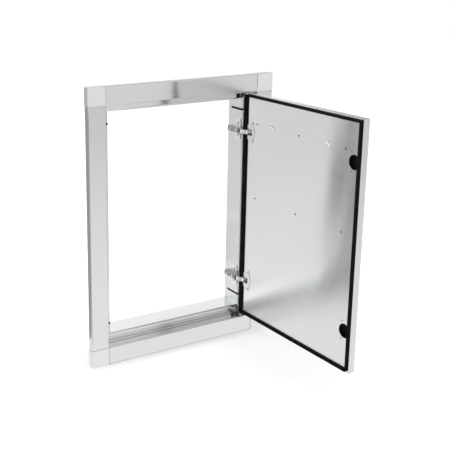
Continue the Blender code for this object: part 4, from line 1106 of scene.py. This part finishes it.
def makeScrews(tree, kind, body, places):
    mesh = bpy.data.meshes.new("screwPoints")
    mesh.from_pydata([tuple(point) for node, point, direction in places], [], [])
    attribute = mesh.attributes.new("facing", "FLOAT_VECTOR", "POINT")
    for index, (node, point, direction) in enumerate(places):
        attribute.data[index].vector = direction
    head, rise, shank, length, seed = screwSizes[kind].values()
    full = screwSizes["plate"]
    result = runTree(mesh, tree, {
        "Head Radius": head, "Head Rise": rise, "Shank Radius": shank, "Shank Length": length,
        "Recess Long": screwSizes["recessLong"] * head / full["head"],
        "Recess Wide": screwSizes["recessWide"],
        "Recess Depth": screwSizes["recessDepth"] * rise / full["rise"],
        "Turn Seed": seed, "Finish": looks["screw"][0]})
    finishPiece(kind + "Screws", result, "screw", body, [node for node, point, direction in places],
                screwSizes["edgeRound"])


def makeAllScrews():
    sizes = hingeSizes
    seat, plates, adjusters, cups = sizes["seat"], [], [], []
    plateMiddle = sizes["wingFront"] + sizes["wingDepth"] / 2
    outward = Vector((-1.0, 0.0, 0.0))
    inward = (doorTurn.to_3x3() @ Vector((0.0, 1.0, 0.0))).normalized()
    for which, level in hingeLevels.items():
        place = hingePlace(level)
        for end, side, (s, z) in zip(("bottom", "top"), (-1, 1), besideCup(cupFromEdge, hingeHeights[which])):
            plates.append((which + "_hinge_plate_screw_" + end,
                           place(2 * seat + sizes["plateThickness"], plateMiddle,
                                 side * plateHoles["spacing"] / 2), outward))
            cups.append((which + "_hinge_cup_screw_" + end,
                         doorPlace(s, -2 * seat - cupSizes["cover"], z), inward))
        for end in ("front", "rear"):
            adjusters.append((which + "_hinge_adjuster_" + end,
                              place(sizes["armStandoff"] + seat, sizes[end + "Adjuster"], 0.0), outward))
    tree = screwTree()
    makeScrews(tree, "plate", "frame", plates)
    makeScrews(tree, "adjuster", "frame", adjusters)
    makeScrews(tree, "cup", "door", cups)


makeAllScrews()
print("screws set")

# The plugs in the slots and the hidden stiffeners keep their solids and take a finish
for name, item in nodes.items():
    for start, look in (("slot_plug", "nylon"), ("door_stiffener", "zinc")):
        if name.startswith(start):
            item.data.materials.clear()
            item.data.materials.append(looks[look][0])

# Studio: pale floor, white surround, one soft light overhead, and cards that only reflections see
studioSizes = {
    "floorReach": 30.0, "floorLevel": -0.0063, "floorTint": 0.94, "floorLift": 0.06, "surround": 1.20,
    "skyTones": ((0.0, 1.0), (0.14, 0.85), (0.26, 0.66), (0.55, 0.78), (1.0, 1.0)),
    "lightPlace": (0.0, 0.3, 2.3), "lightSize": 2.4, "lightPower": 28.0,
    "ground": {"near": 0.3, "far": 2.7, "tones": (0.955, 0.735), "reach": 9.0, "lift": 0.0005},
    # Cards: left and right, then y and z of their lower and upper edges, then tone
    "cards": {
        "leftSide": (-0.70, -0.275, 0.14, -0.0063, 0.14, 0.80, 0.36),
        "behindJamb": (-0.45, 0.10, 0.90, -0.0063, 0.90, 0.55, 0.78),
        "behindJambLow": (-0.12, 0.12, 0.45, -0.0063, 0.45, 0.14, 0.76),
        "backGlow": (0.35, 1.50, 1.50, 0.25, 1.50, 0.95, 1.22),
        "backLeftGlow": (-2.40, -0.90, 1.50, 0.45, 1.50, 1.40, 1.55),
        "aboveBack": (0.30, 2.60, 1.20, 0.97, 1.20, 2.20, 0.45),
        "frontLeft": (-0.80, -0.29, -0.12, -0.0063, -0.12, 0.60, 0.20),
        "backLow": (0.12, 0.50, 0.25, 0.098, 0.75, 0.25, 0.20),
        "ceiling": (-3.0, 3.0, -2.40, 2.20, 1.20, 2.20, 0.60),
        "underFrame": (-0.26, 0.26, -0.0179, -0.0055, 0.085, -0.0055, 0.10),
    },
}
black, coolWhite, white = (0.0, 0.0, 0.0, 1.0), (0.985, 0.995, 1.0, 1.0), (1.0, 1.0, 1.0, 1.0)


def studioPlane(name, look, left, right, lowY, lowZ, highY, highZ):
    mesh = bpy.data.meshes.new(name)
    corners = [(left, lowY, lowZ), (right, lowY, lowZ), (right, highY, highZ), (left, highY, highZ)]
    mesh.from_pydata(corners, [], [(0, 1, 2, 3)])
    mesh.materials.append(look)
    plane = newObject(name, mesh)
    return plane


def glowCard(name, *edges, strengthOf):
    # Only reflections see a card
    look, tree, shader = lookTree(name)
    feed(tree, shader, {"Base Color": black, "Specular IOR Level": 0.0, "Emission Color": coolWhite,
                        "Emission Strength": strengthOf(tree)})
    assign(studioPlane(name, look, *edges), visible_camera=False, visible_diffuse=False, visible_shadow=False,
           visible_transmission=False)


def groundTone(tree):
    # Reflections see the floor a little greyer the farther off it lies
    ground = studioSizes["ground"]
    place = addNode(tree, "ShaderNodeTexCoord").outputs["Object"]
    distance = addNode(tree, "ShaderNodeVectorMath", {0: place}, operation="LENGTH").outputs["Value"]
    return ranged(tree, distance, *ground["tones"], ground["near"], ground["far"])


def makeStudio():
    sizes = studioSizes
    reach, level = sizes["floorReach"], sizes["floorLevel"]
    look, tree, shader = lookTree("studioFloor")
    feed(tree, shader, {
        "Base Color": (sizes["floorTint"],) * 3 + (1.0,), "Roughness": 1.0, "Specular IOR Level": 0.0,
        "Emission Color": white, "Emission Strength": sizes["floorLift"]})
    studioPlane("studioFloor", look, -reach, reach, -reach, level, reach, level)
    reach, level = sizes["ground"]["reach"], level + sizes["ground"]["lift"]
    glowCard("groundGlow", -reach, reach, -reach, level, reach, level, strengthOf=groundTone)
    for name, (*edges, tone) in sizes["cards"].items():
        glowCard(name, *edges, strengthOf=lambda tree: tone)
    light = assign(bpy.data.lights.new("overhead", "AREA"), shape="SQUARE", size=sizes["lightSize"],
                   energy=sizes["lightPower"])
    newObject("overhead", light).location = sizes["lightPlace"]
    # White round the horizon, a little greyer higher up
    world = assign(bpy.data.worlds.new("studio"), use_nodes=True)
    bpy.context.scene.world = world
    tree = world.node_tree
    direction = addNode(tree, "ShaderNodeTexCoord").outputs["Generated"]
    height = addNode(tree, "ShaderNodeSeparateXYZ", {"Vector": direction}).outputs["Z"]
    sky = addNode(tree, "ShaderNodeValToRGB", {"Fac": height})
    stops = sky.color_ramp.elements
    while len(stops) < len(sizes["skyTones"]):
        stops.new(0.5)
    for stop, (place, tone) in zip(stops, sizes["skyTones"]):
        assign(stop, position=place, color=(tone, tone, tone, 1.0))
    feed(tree, tree.nodes["Background"], {"Strength": sizes["surround"], "Color": sky.outputs["Color"]})
    bpy.context.scene.view_settings.view_transform = "Standard"


makeStudio()
print("studio ready")
